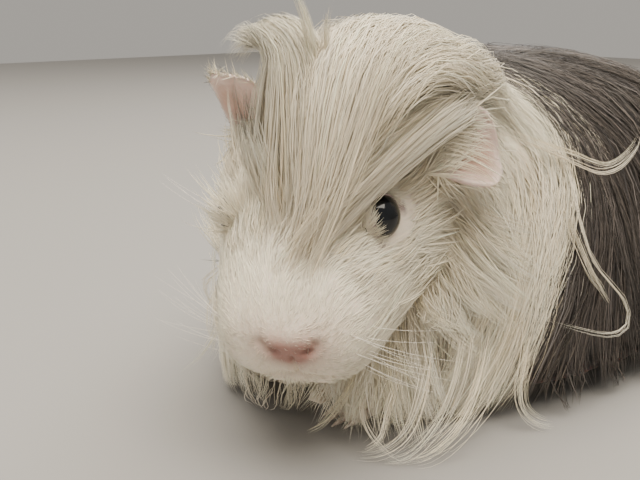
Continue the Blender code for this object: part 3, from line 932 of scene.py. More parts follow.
# --- the coat's outer surface, and the way the hair lies on it ---
@dataclass
class Envelope:
    """The outer surface of the coat, and the direction in which the hair lies at each place on it."""

    animal: Animal
    nodes: CadNodes
    voxel: float = 2.2
    parts: tuple[str, ...] = (
        "head", "muzzle", "crest_left", "crest_right", "neck_mane_left", "neck_mane_right", "trunk", "rump",
    )
    tuft_edge: float = 1.05  # how many half sizes a tuft's own lie reaches out
    form_blend: float = 0.06  # how far from the head's and the body's form their own lie reaches
    rounds: int = 10
    steady: float = 0.6  # how much of its own way a lock keeps at each step
    turn: float = 0.4  # and how much it takes from the lie of the coat
    floor: float = 2.0  # locks end under this height
    hem: float = 14.0  # and under this one where the surface looks down
    mane_back: Table = (
        (0.0, 0.13, 0.28, 0.5, 0.7, 0.85, 1.0),
        (-1.15, -1.10, -0.92, -0.50, -0.16, 0.15, 0.55),
    )  # how much the mane leans back at each share of its height
    flank_back: Table = ((0.0, 0.25, 0.55, 0.85, 1.0), (0.45, 0.12, 0.22, 0.75, 1.3))
    places: Array = field(init=False)
    faces: Array = field(init=False)
    lie: Array = field(init=False)
    tree: BVHTree = field(init=False)

    def __post_init__(self) -> None:
        """Builds the surface and works out the lie of the coat."""
        helper = object_of(cad_copy(self.nodes, self.parts), "envelope_helper")
        remesh(helper, self.voxel, 3)
        applied(helper)
        self.places, normals = surface_of(helper.data)
        self.faces, _ = triangle_array(helper.data)
        self.lie = self._comb(normals)[self.faces].mean(axis=1)
        self.tree = tree_of(self.places, self.faces)
        bpy.data.objects.remove(helper)

    def _comb(self, normals: Array) -> Array:
        """The lie of the coat at each point of the surface."""
        weights, ways = [], []
        for tuft in (CREST_LEFT, CREST_RIGHT):
            line, size = tuft.line(40)
            line = self.animal.pose.from_head(line)
            gap = tuft_gaps(self.places, line, size)
            ways.append(unit(np.gradient(line, axis=0))[gap.argmin(axis=1)])
            weights.append(bell(np.maximum(0.0, gap.min(axis=1) - self.tuft_edge) / 0.25) * 3.0)
        in_head, in_body = self.animal.pose.to_head(self.places), self.animal.pose.to_body(self.places)
        ways += [self._head_way(in_head), self._body_way(in_body)]
        weights.append(bell((self.animal.head.nearness(in_head) - 1.0) / self.form_blend))
        weights.append(bell((self.animal.body.nearness(in_body) - 1.0) / self.form_blend))
        total = sum(way * weight[:, None] for way, weight in zip(ways, weights))
        total += ways[-1] * 0.02
        edges = np.concatenate([self.faces[:, [0, 1]], self.faces[:, [1, 2]], self.faces[:, [2, 0]]])
        count = np.maximum(1, np.bincount(edges.ravel(), minlength=len(total)))[:, None]
        for _ in range(self.rounds):
            total -= normals * (total * normals).sum(axis=1, keepdims=True)
            total = unit(total)
            near = np.zeros_like(total)
            for axis in range(3):
                near[:, axis] += np.bincount(edges[:, 0], total[edges[:, 1], axis], len(total))
                near[:, axis] += np.bincount(edges[:, 1], total[edges[:, 0], axis], len(total))
            total = 0.5 * total + 0.5 * near / count
        return unit(total)

    def _head_way(self, points: Array) -> Array:
        """The lie of the coat on the head: away from the nose, over the forehead to the left, and down the cheeks."""
        side, back, high = points.T
        rear = smooth((back - 30.0) / 30.0)
        over = smooth((high + 2.0) / 14.0) * smooth((back - 10.0) / 14.0) * smooth((side + 16.0) / 18.0)
        cheek = smooth((back - 26.0) / 16.0) * smooth((12.0 - high) / 10.0)
        cheek = cheek + 1.1 * smooth((back - 36.0) / 12.0) * smooth((13.0 - high) / 10.0)
        way = unit(points - np.array((0.0, -7.0, -3.0)))
        for share, pull in ((rear, (0.0, 0.8, -0.35)), (over, (0.9, 0.0, -0.2)), (cheek, (0.0, 0.0, -1.0))):
            way = way + share[:, None] * np.array(pull)
        return unit(way) @ self.animal.pose.turn.T

    def _body_way(self, points: Array) -> Array:
        """The lie of the coat on the body: back from the parting, then down, with tips that turn at the floor."""
        form = self.animal.body
        station = form.station_of(points)
        place, left, back = form.spine(station)
        across = ((points - place) * left).sum(-1)
        up = np.clip(points[:, 2] / form.top.at(station), 0.0, 1.0)
        grey = smooth((station - self.animal.grey_edge.at(points[:, 2]) - 6.0) / 22.0)
        rear = smooth((station - 165.0) / 35.0)
        mane, flank = np.interp(up, *self.mane_back), np.interp(up, *self.flank_back)
        aside = np.sign(across) * smooth(np.abs(across) / 18.0) * (0.35 + 0.5 * up**4) * (1 - rear)
        way = left * aside[:, None]
        way = way + back * ((mane * (1 - grey) + flank * grey) * (1 - rear) + 0.5 * rear)[:, None]
        return unit(way + np.array((0.0, 0.0, -1.0)))

    def trace(self, roots: Array, lengths: Array, depth: Array, swirl: Array, steps: int) -> tuple[Array, Array]:
        """Follows the lie of the coat from each root, and stops at the floor.

        Args:
            roots: Starting places.
            lengths: How long each lock is.
            depth: How far under the outer surface each lock lies.
            swirl: How much each lock turns aside, as a share of its direction.
            steps: How many steps each lock takes.

        Returns:
            The paths and the surface's normals beside them, both count by steps + 1 by 3.
        """
        paths = np.empty((len(roots), steps + 1, 3))
        normals = np.empty_like(paths)
        find, lie = self.tree.find_nearest, [Vector(way) for way in self.lie]
        for i, root in enumerate(roots):
            place = Vector(root)
            _, _, face, _ = find(place)
            way, stride, last = lie[face].copy(), lengths[i] / steps, steps
            for j in range(steps + 1):
                near, normal, face, _ = find(place)
                place = near - normal * depth[i]
                paths[i, j], normals[i, j] = place, normal
                if place.z < self.floor or (normal.z < -0.35 and place.z < self.hem):
                    last = max(1, j)
                    if j == 0:
                        paths[i, 1], normals[i, 1] = place + way * stride, normal
                    break
                way = way * self.steady + lie[face] * self.turn + normal.cross(lie[face]) * (self.turn * swirl[i])
                way -= normal * way.dot(normal)
                way.normalize()
                place = place + way * stride
            if last < steps:
                share, own = np.linspace(0, last, steps + 1)[None], np.zeros(1, int)
                for table in (paths, normals):
                    table[i] = read_along(table[i : i + 1, : last + 1], share, own)[0]
        return paths, unit(normals)

    def sample(self, rng: Random, count: int, weight: Array) -> Array:
        """Random places on the surface, spread by area times a weight for each face."""
        corners = self.places[self.faces]
        picked, share = scatter(rng, corners, weight, count)
        return (corners[picked] * share).sum(axis=1)


def eye_frame(animal: Animal, side: int) -> tuple[Array, Array, Array, Array]:
    """Where an eye is and how it is turned, in the head's frame.

    Args:
        animal: The animal.
        side: 1 for the left eye and -1 for the right one.

    Returns:
        The eyeball's middle, the way that it looks, and the ways to its front and to its top, square to that.
    """
    low, high = (np.array(corner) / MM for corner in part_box("eye_left" if side > 0 else "eye_right"))
    out = unit(np.array((side * 1.0, -0.30, 0.10)))
    fore = unit(np.cross(out, (0.0, 0.0, 1.0))) * side
    return animal.pose.to_head((low + high) / 2) - out * EYE_SINK[side], out, fore, np.cross(out, fore) * -side


def lid_edge(turn: Array | float) -> Array:
    """How far from the eye's axis the lids open, as an angle, for each turn from the front over the top."""
    return LID_OPENING * (1.0 - 0.15 * np.cos(2 * turn) - 0.03 * np.cos(turn))


def eye_place(animal: Animal, points: Array) -> tuple[Array, Array, Array]:
    """Where places lie on the nearer eye.

    Args:
        animal: The animal.
        points: Places in the head's frame.

    Returns:
        The distance from the eyeball's middle, the angle past the edge of the lids, and how much in front it is.
    """
    found = []
    for side in (1, -1):
        middle, axis, fore, up = eye_frame(animal, side)
        away = points - middle
        gap = np.maximum(np.linalg.norm(away, axis=-1), 1e-6)
        angle = np.arccos(np.clip(away @ axis / gap, -1, 1))
        found.append((gap, angle - lid_edge(np.arctan2(away @ up, away @ fore)), away @ fore / gap))
    nearer = found[0][0] < found[1][0]
    return tuple(np.where(nearer, left, right) for left, right in zip(*found))


# --- skin ---
@dataclass(frozen=True)
class Ear:
    """A petal that grows from its root in one direction and ends in another, in the head's frame."""

    root: Triple
    leaves: Triple
    ends: Triple
    breadth: Triple
    length: float = 24.0
    width: float = 26.0
    cupping: float = 3.2

    def point(self, out: float, across: float) -> Vector:
        """A place on the petal: out runs from 0 at the root to 1, and across from -1 to 1."""
        root, leaves, ends, breadth = (Vector(v) for v in (self.root, self.leaves, self.ends, self.breadth))
        bent = max(0.0, out)
        middle = root + self.length * (leaves * (out - bent * bent / 2) + ends * bent * bent / 2)
        forward = (leaves * (1 - bent) + ends * bent).normalized()
        width = 0.66 + 0.34 * math.sin(math.pi * min(1.0, 0.15 + bent))
        cup = self.cupping * across * across * (0.35 + 0.65 * bent) + 0.5 * math.sin(5.0 * across + 2.0 * out) * bent
        lift = forward.cross(breadth).normalized() * cup
        return middle + breadth.normalized() * self.width / 2 * across * width + lift

    def grows(self, out: float) -> Array:
        """The way from the root to the rim at a place on the petal."""
        return unit(np.array(self.leaves) * (1 - out) + np.array(self.ends) * out)


EARS = {
    "ear_left": Ear((30, 57, 17.5), (0.97, 0.16, -0.10), (0.42, 0.0, -0.90), (-0.10, 0.76, 0.62), 21.0, 21.0, 4.5),
    "ear_right": Ear((-21, 61, 16.5), (-0.10, 0.02, 1.00), (-0.22, -0.22, 0.92), (0.74, -0.40, 0.50)),
}


def ear_place(points: Array) -> tuple[Array, Array, Array, Array]:
    """Where places lie on the nearer ear.

    Args:
        points: Places in the head's frame.

    Returns:
        The distance from the petal, how far out on it from 0 to 1, how far across from -1 to 1, and the way out.
    """
    at = [(out, across) for out in np.linspace(0, 1, 10) for across in np.linspace(-1, 1, 11)]
    spots = np.array([ear.point(out * rim_reach(across), across) for ear in EARS.values() for out, across in at])
    ways = np.array([ear.grows(out) for ear in EARS.values() for out, _ in at])
    at = np.array(at * len(EARS))
    gap, nearest = np.full(len(points), 99.0), np.zeros(len(points), int)
    for k, spot in enumerate(spots):
        away = np.linalg.norm(points - spot, axis=1)
        closer = away < gap
        gap[closer], nearest[closer] = away[closer], k
    return gap, at[nearest, 0], at[nearest, 1], ways[nearest]


def rim_reach(across: float) -> float:
    """How far out a petal reaches, as a share of its length, for each place across it."""
    return 0.40 + 0.60 * math.sqrt(max(0.0, 1.0 - (0.93 * across) ** 2))


@dataclass
class Skin:
    """One skin over head, neck, body, legs and ears, with lids round the eyes, nostrils and lips."""

    animal: Animal
    nodes: CadNodes
    voxel: float = 1.15
    sides: int = 40
    head_rings: int = 30
    body_rings: int = 24
    body_ends: Pair = (18.0, 211.0)
    nose: Triple = (0.0, 2.0, -2.0)
    nose_reach: float = 13.0
    lid_sides: int = 44
    leg_coat: float = 0.5
    ear_root: float = 0.22  # how much of an ear lies in the head, as a share of its length
    ear_thickness: float = 1.0
    legs: tuple[str, ...] = ("fore_leg_left", "fore_leg_right", "hind_leg_left", "hind_leg_right")
    flesh: tuple[str, ...] = (
        "head", "muzzle", "nose", "neck_mane_left", "neck_mane_right", "trunk", "rump", "ear_left", "ear_right",
        "fore_leg_left", "fore_leg_right", "hind_leg_left", "hind_leg_right",
    )
    piece: Object = field(init=False)
    places: Array = field(init=False)
    normals: Array = field(init=False)
    corners: Array = field(init=False)
    flat: Array = field(init=False)
    tree: BVHTree = field(init=False)

    relief: tuple[tuple[float, Triple, Triple], ...] = (
        (1.6, (29.0, 44.0, 0.0), (9.0, 12.0, 11.0)),  # cheek
        (1.4, (9.5, 5.0, -1.0), (6.5, 6.0, 5.0)),  # whisker pad
        (0.9, (2.6, 1.5, 6.0), (4.4, 3.4, 2.6)),  # bridge of the nose
        (-2.0, (4.4, 1.0, 4.4), (1.9, 3.4, 0.8)),  # nostril
        (-1.5, (6.4, 1.6, 5.9), (1.3, 3.4, 1.0)),  # outer end of the nostril
    )  # height, middle and radii of each bump and hollow on both sides of the face
    lid: tuple[Triple, ...] = (
        (1.12, 5.90, 0.0), (1.10, 6.15, 0.0), (1.19, 6.30, 0.0), (1.40, 6.20, 0.0), (1.75, 6.00, 0.2),
        (2.15, 5.60, 0.5), (2.10, 4.60, 0.3), (1.60, 5.10, 0.1), (1.30, 5.30, 0.0),
    )  # angle from the eye's axis, distance from its middle, and how far each ring is pulled in

    def build(self) -> None:
        """Builds the whole skin."""
        bm = bmesh.new()
        form, pose = self.animal.head, self.animal.pose
        backs = form.length * np.linspace(0, 1, self.head_rings) ** 1.3
        add_rings(bm, [pose.from_head(form.section(b, self.sides, float(form.coat_depth.at(b)))) for b in backs])
        stations = np.linspace(*self.body_ends, self.body_rings)
        add_rings(bm, [pose.from_body(self.animal.body.skin_section(s, self.sides)) for s in stations])
        for name in self.legs:
            leg = cad_copy(self.nodes, (name,))
            leg.normal_update()
            for vert, way in [(v, v.normal.copy()) for v in leg.verts]:
                vert.co -= Vector((way.x, way.y, max(0.0, way.z))) * self.leg_coat
            pour(leg, bm)
        body = object_of(bm, "skin")
        remesh(body, self.voxel, 4)
        self.piece = applied(body)
        self._refine_nose()
        self._shape_face()
        self._add_details()

    def _refine_nose(self) -> None:
        """Gives the nose and the lips smaller faces."""
        bm = bmesh.new()
        bm.from_mesh(self.piece.data)
        nose, reach = Vector(self.animal.pose.from_head(self.nose) * MM), self.nose_reach * MM
        near = [face for face in bm.faces if (face.calc_center_median() - nose).length < reach]
        edges = sorted({edge for face in near for edge in face.edges}, key=attrgetter("index"))
        bmesh.ops.subdivide_edges(bm, edges=edges, cuts=1, use_grid_fill=True)
        bm.verts.index_update()
        corners = sorted({vert for edge in edges if edge.is_valid for vert in edge.verts}, key=attrgetter("index"))
        bmesh.ops.smooth_vert(bm, verts=corners, factor=0.4)
        bmesh.ops.triangulate(bm, faces=[f for f in bm.faces if len(f.verts) > 4])
        store(bm, self.piece.data)

    def _shape_face(self) -> None:
        """Presses in the nostrils and the mouth, and raises the whisker pads and cheeks."""
        mesh = self.piece.data
        places, normals = surface_of(mesh)
        point = self.animal.pose.to_head(places)
        back, high = point[:, 1], point[:, 2]
        side = np.abs(point[:, 0] - NOSE_ASIDE * np.exp(-back / 12.0))
        rise = np.zeros(len(point))
        for height, middle, radii in self.relief:
            away = (np.stack([side, back, high], axis=1) - middle) / radii
            rise += height * np.exp(-(away**2).sum(axis=1))
        cleft = bell(side / 0.55) * smooth((high + 4.0) / 1.5) * smooth((4.0 - high) / 1.5)
        rise -= 1.2 * cleft * (back < 9)
        lip = high + 4.0 + 0.028 * side**2
        rise -= 1.4 * bell(lip / 0.8) * (side < 9.5) * (back < 12)
        rise += 0.8 * bell((lip + 2.4) / 1.7) * (side < 7.5) * (back < 12)
        set_vertices(mesh, places + normals * rise[:, None])

    def _add_lid(self, bm: BMesh, side: int) -> None:
        """Adds the two lids of one eye as one soft ring that sinks into the head."""
        centre, out, fore, up = eye_frame(self.animal, side)
        turns = np.arange(self.lid_sides) * 2 * math.pi / self.lid_sides
        rings = []
        for reach, lift, pull in self.lid:
            ring = []
            for turn in turns:
                corner = float(lid_edge(turn)) / LID_OPENING
                angle = reach * (1.0 + (corner - 1.0) * max(0.0, min(1.0, (1.7 - reach) / 0.4)))
                way = out * math.cos(angle) + (fore * math.cos(turn) + up * math.sin(turn)) * math.sin(angle)
                ring.append(self.animal.pose.from_head(centre + way * lift - out * pull))
            rings.append(np.array(ring))
        add_rings(bm, rings, closed=True)

    def _add_petal(self, bm: BMesh, ear: Ear) -> None:
        """Adds one ear as a thin petal whose root lies in the head."""
        petal = bmesh.new()
        bmesh.ops.create_grid(petal, x_segments=26, y_segments=30, size=1.0)
        for vert in petal.verts:
            out, across = (vert.co.x + 1) / 2 * (1 + self.ear_root) - self.ear_root, vert.co.y
            reach = rim_reach(across) if out > 0 else 1.0
            vert.co = Vector(self.animal.pose.from_head(ear.point(out * reach, across * 0.97)))
        bmesh.ops.recalc_face_normals(petal, faces=petal.faces)
        sides = 2 * len(petal.faces)
        bmesh.ops.solidify(petal, geom=petal.faces[:], thickness=self.ear_thickness)
        bmesh.ops.smooth_vert(petal, verts=petal.verts, factor=0.5)
        petal.faces.index_update()

        def order(face: bmesh.types.BMFace) -> float:
            """Keeps both sides' faces in order, and puts the rim's faces after them by their place."""
            return face.index if face.index < sides else 1e6 + face.calc_center_median().dot((1.0, 3.7, 11.3))

        petal.faces.sort(key=order)
        pour(petal, bm)

    def _add_details(self) -> None:
        """Joins the ears and lids to the skin."""
        bm = bmesh.new()
        for side in (1, -1):
            self._add_lid(bm, side)
        for ear in EARS.values():
            self._add_petal(bm, ear)
        resize(bm, MM)
        bm.from_mesh(self.piece.data)
        bmesh.ops.triangulate(bm, faces=bm.faces)
        store(bm, self.piece.data)

    def dress(self, material: Material) -> None:
        """Colours and unwraps the skin, and puts it in the place of the flesh nodes.

        Args:
            material: The skin's finish.
        """
        mesh = self.piece.data
        mesh.materials.append(material)
        self.places, self.normals = surface_of(mesh)
        paint(mesh, "skin_colour", self._colours())
        unwrap(self.piece)
        self.corners, loops = triangle_array(mesh)
        flat = np.empty(len(mesh.loops) * 2, np.float32)
        mesh.uv_layers[0].data.foreach_get("uv", flat)
        self.flat = flat.reshape(-1, 2)[loops]
        self.tree = tree_of(self.places, self.corners)
        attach(self.piece, "root")
        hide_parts(*self.flesh)

    def _colours(self) -> Array:
        """Pale skin under white hair, dark under grey, and pink where it is bare, with painted shade inside the ears
        and painted light on their rims and upper halves.
        """
        point = self.animal.pose.to_head(self.places)
        grey = self.animal.greyness(self.places)[:, None]
        colour = mixed(SKIN_WHITE, SKIN_GREY, grey)
        colour = mixed(colour, SKIN_BARE, np.minimum(1.0, nose_nearness(point, 1.15) * 1.4)[:, None])
        gap, out, across, _ = ear_place(point)
        petal = smooth((EAR_FUR - gap) / 1.0) * smooth(out / 0.25)
        rim = smooth((np.maximum(np.abs(across), out) - 0.65) / 0.35)
        # painted light: the upper half of each ear gets the lighter rim colour
        rim = np.maximum(rim, smooth((across - 0.1) / 0.8))
        # painted shade: the inside of each ear is darker than its rim
        colour = mixed(colour, mixed(EAR_INSIDE_IN_SHADE, EAR_RIM_AND_LIT_SIDE, rim[:, None]), petal[:, None])
        gap, past, _ = eye_place(self.animal, point)
        return mixed(colour, LID_RIM, (bell(past / 0.15) * (gap < 8.0))[:, None])

    def flat_places(self, points: Array) -> Array:
        """Where each place is on the flat layout of the skin."""
        found = [self.tree.find_nearest(Vector(point)) for point in points]
        face = np.array([hit[2] for hit in found])
        spot = np.array([hit[0] for hit in found])
        a, b, c = np.moveaxis(self.places[self.corners[face]], 1, 0)
        ab, ac, ap = b - a, c - a, spot - a
        d00, d01, d11 = (ab * ab).sum(1), (ab * ac).sum(1), (ac * ac).sum(1)
        d20, d21 = (ap * ab).sum(1), (ap * ac).sum(1)
        scale = np.maximum(1e-12, d00 * d11 - d01 * d01)
        v, w = (d11 * d20 - d01 * d21) / scale, (d00 * d21 - d01 * d20) / scale
        share = np.clip(np.stack([1 - v - w, v, w], axis=1), 0.0, 1.0)
        return (self.flat[face] * share[:, :, None]).sum(axis=1)


@dataclass
class Undercoat:
    """The dense wool under the long hair of the crest, the mane and the back."""

    animal: Animal
    nodes: CadNodes
    depth: float = 2.8
    voxel: float = 2.6
    parts: tuple[str, ...] = ("neck_mane_left", "neck_mane_right", "trunk", "rump")
    hem: float = 28.0  # the height under which the wool draws in and lifts
    core: float = 0.62  # the size of the crest's core as a share of the tuft's
    flop_rings: int = 17
    sides: int = 20

    def build(self, material: Material) -> None:
        """Builds, colours and unwraps the wool.

        Args:
            material: Its finish.
        """
        wool = object_of(cad_copy(self.nodes, self.parts), "undercoat")
        remesh(wool, self.voxel, 3)
        thin = wool.modifiers.new("thin", "DISPLACE")
        thin.strength = -self.depth * MM
        thin.mid_level = 0.0
        applied(wool)
        places, normals = surface_of(wool.data)
        low = np.maximum(0.0, self.hem - places[:, 2])
        places[:, :2] -= normals[:, :2] * (0.32 * low)[:, None]
        places[:, 2] += 0.22 * low
        set_vertices(wool.data, places)
        bm = bmesh.new()
        add_rings(bm, self._sections(CREST_LEFT))
        add_rings(bm, self._sections(CREST_FLOP)[: self.flop_rings])
        resize(bm, MM)
        bm.from_mesh(wool.data)
        bmesh.ops.triangulate(bm, faces=bm.faces)
        store(bm, wool.data)
        places, _ = surface_of(wool.data)
        paint(wool.data, "skin_colour", mixed(WOOL_WHITE, WOOL_GREY, self.animal.greyness(places)[:, None]))
        wool.data.materials.append(material)
        unwrap(wool)
        wool.data.uv_layers[0].name = "OFBake"
        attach(wool, "root")

    def _sections(self, tuft: Tuft) -> list[Array]:
        """Rings across a tuft of the crest, inside its hair."""
        line, size, across, rise = tuft.frame(26)
        turn = np.arange(self.sides)[:, None] * math.pi / (self.sides / 2)
        cos, sin = np.cos(turn), np.sin(turn)
        rings = [size[k, 0] * cos * across[k] + size[k, 1] * sin * rise[k] for k in range(len(line))]
        return [self.animal.pose.from_head(place + self.core * ring) for place, ring in zip(line, rings)]


@dataclass
class Eye:
    """One eyeball with a slight bulge in front, narrower behind the lids."""

    animal: Animal
    name: str
    radius: float = EYE_RADIUS
    segments: int = 48
    bulge: float = 0.035
    narrowing: float = 0.20

    def build(self, material: Material) -> None:
        """Builds and dresses the eye.

        Args:
            material: The eye's finish.
        """
        middle, axis, _, _ = eye_frame(self.animal, 1 if self.name.endswith("left") else -1)
        centre, axis = Vector(self.animal.pose.from_head(middle)), Vector(self.animal.pose.turn @ axis)
        bm = bmesh.new()
        bmesh.ops.create_uvsphere(bm, u_segments=self.segments, v_segments=32, radius=self.radius)
        away = []
        for vert in bm.verts:
            angle = vert.co.angle(Vector((0, 0, 1))) / math.pi
            away.append(min(1.0, angle * 2.2))
            behind_lids = float(smooth(angle * 3.9 - 1.7))
            vert.co *= 1.0 + self.bulge * math.exp(-((angle / 0.2) ** 2)) - self.narrowing * behind_lids
        turn = Vector((0, 0, 1)).rotation_difference(axis).to_matrix()
        bmesh.ops.rotate(bm, verts=bm.verts, cent=(0, 0, 0), matrix=turn)
        bmesh.ops.translate(bm, verts=bm.verts, vec=centre)
        eye = object_of(bm, self.name + "_ball")
        layer = eye.data.attributes.new("from_axis", "FLOAT", "POINT")
        layer.data.foreach_set("value", np.array(away, np.float32))
        eye.data.materials.append(material)
        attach(eye, "root")
        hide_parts(self.name)


# --- strands ---
@dataclass
class Strands:
    """Many strands of hair: each is a row of places with a normal, a half width and a colour at each.

    The longer a normal is, the more the strand is shaded like the coat round it.
    """

    paths: Array
    normals: Array
    widths: Array
    colours: Array

    @classmethod
    def joined(cls, parts: list[Strands]) -> Strands:
        """Several sets of strands, which all have the same number of places, as one."""
        names = ("paths", "normals", "widths", "colours")
        return cls(*(np.concatenate([getattr(part, name) for part in parts]) for name in names))

    def part(self, rows: slice | Array) -> Strands:
        """Some of the strands."""
        return Strands(self.paths[rows], self.normals[rows], self.widths[rows], self.colours[rows])

    def triangles(self) -> int:
        """How many triangles each strand takes."""
        return 6 * (self.paths.shape[1] - 2) + 4


@dataclass
class Coat:
    """Turns strands into solid meshes in pieces of a bounded size."""

    skin: Skin
    material: Material
    seed: int = 11

    def build(self, name: str, strands: Strands, slot: str, stands_for: tuple[str, ...] = ()) -> int:
        """Builds the pieces for one set of strands.

        Args:
            name: Start of the pieces' names.
            strands: The strands.
            slot: Not used.
            stands_for: CAD nodes that the first piece replaces.

        Returns:
            The number of triangles.
        """
        most = MOST_TRIANGLES // strands.triangles()
        total = len(strands.paths)
        pieces = max(1, math.ceil(total / most))
        order = np.argsort(np.random.default_rng(self.seed).random(total))
        shuffled = strands.part(order)
        for k in range(pieces):
            rows = slice(total * k // pieces, total * (k + 1) // pieces)
            piece = self._mesh(f"{name}_{k + 1}", shuffled.part(rows))
            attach(piece, "root")
            if stands_for and k == 0:
                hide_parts(*stands_for)
        made = total * strands.triangles()
        LOG.info("%s: %d strands, %d triangles in %d pieces", name, total, made, pieces)
        return made

    def _mesh(self, name: str, strands: Strands) -> Object:
        """One piece: each strand is a tapered solid with three sides, closed at its root and pointed."""
        paths, normals = strands.paths, strands.normals
        count, places, _ = paths.shape
        rings = places - 1
        along = unit(np.gradient(paths, axis=1))
        side = unit(np.cross(along, normals))
        lift = np.cross(side, along)
        half = strands.widths[:, :, None]
        corner = np.stack([paths + side * half, paths + lift * half * 0.75, paths - side * half], axis=2)

        def laid_out(ringed: Array, tips: Array) -> Array:
            """A table for each strand's vertices: three for each ring, and then the tip."""
            return np.concatenate([ringed[:, :rings].reshape(count, rings * 3, 3), tips[:, -1:]], axis=1)

        points = laid_out(corner, paths)
        each = rings * 3 + 1
        around = ((0, 1), (1, 2), (2, 0))
        quads = [(at + b, at + a, at + 3 + a, at + 3 + b) for at in range(0, rings * 3 - 3, 3) for a, b in around]
        ends = [(0, 1, 2)] + [(each - 4 + b, each - 4 + a, each - 1) for a, b in around]
        start = (np.arange(count) * each)[:, None, None]
        quads, ends = np.array(quads, int).reshape(-1, 4), np.array(ends, int)
        loops = np.concatenate([(start + quads).ravel(), (start + ends).ravel()])
        sizes = np.concatenate([np.full(count * len(quads), 4), np.full(count * len(ends), 3)])
        mesh = bpy.data.meshes.new(name)
        mesh.vertices.add(count * each)
        mesh.vertices.foreach_set("co", (points * MM).astype(np.float32).ravel())
        mesh.loops.add(len(loops))
        mesh.loops.foreach_set("vertex_index", loops.astype(np.int32))
        mesh.polygons.add(len(sizes))
        mesh.polygons.foreach_set("loop_start", (np.cumsum(sizes) - sizes).astype(np.int32))
        mesh.update(calc_edges=True)
        mesh.shade_smooth()
        low = lift * 0.5
        face = np.stack([side * 0.87 - low, lift, -side * 0.87 - low], axis=2) + normals[:, :, None]
        mesh.normals_split_custom_set_from_vertices(unit(laid_out(face, normals)).reshape(-1, 3).tolist())
        colours = laid_out(np.repeat(strands.colours[:, :, None], 3, axis=2), strands.colours)
        paint(mesh, "hair_colour", colours.reshape(-1, 3))
        across = np.concatenate([np.tile((0.0, 0.5, 1.0), rings), (0.5,)])
        down = np.concatenate([np.repeat(np.arange(rings) / rings, 3), (1.0,)])
        offset = np.random.default_rng(self.seed + 1).random((count, 1)) * 40.0
        strand = np.stack([across + offset, down + offset * 0.37], axis=2)
        root = self.skin.flat_places(paths[:, 0])[:, None]
        bake = root + np.stack([across - 0.5, down - 0.5], axis=1) * PATCH
        for label, layout in (("Strand", strand), ("OFBake", np.clip(bake, 0.0, 1.0))):
            layer = mesh.uv_layers.new(name=label)
            layer.data.foreach_set("uv", layout.reshape(-1, 2)[loops].astype(np.float32).ravel())
        mesh.materials.append(self.material)
        return placed(name, mesh)


def resampled(paths: Array, normals: Array, places: int) -> tuple[Array, Array]:
    """Paths with evenly spaced places, slightly smoothed.

    Args:
        paths: Any number of paths.
        normals: The normals beside them.
        places: How many places each path gets.

    Returns:
        The new paths and normals.
    """
    for _ in range(3):
        paths[:, 1:-1] = 0.5 * paths[:, 1:-1] + 0.25 * (paths[:, :-2] + paths[:, 2:])
    step = np.linalg.norm(np.diff(paths, axis=1), axis=2)
    done = np.concatenate([np.zeros((len(paths), 1)), np.cumsum(step, axis=1)], axis=1)
    tables = np.concatenate([paths, normals], axis=2)
    fresh = np.empty((len(paths), places, 6))
    for i, (length, table) in enumerate(zip(done, tables)):
        wanted = np.linspace(0, length[-1], places)
        fresh[i] = np.stack([np.interp(wanted, length, column) for column in table.T], axis=1)
    return fresh[..., :3], unit(fresh[..., 3:])


@dataclass(frozen=True)
class Style:
    """How the hairs of a lock spread, taper and wander.

    Some locks have a broad flat strand or two under their fine hairs.
    """

    hairs: int
    places: int
    root_spread: float
    tip_spread: float
    thickness: float
    half_width: float
    frizz: float
    lift: float = 0.0
    dive: float = 3.0
    broad: int = 0
    follow: float = 0.9


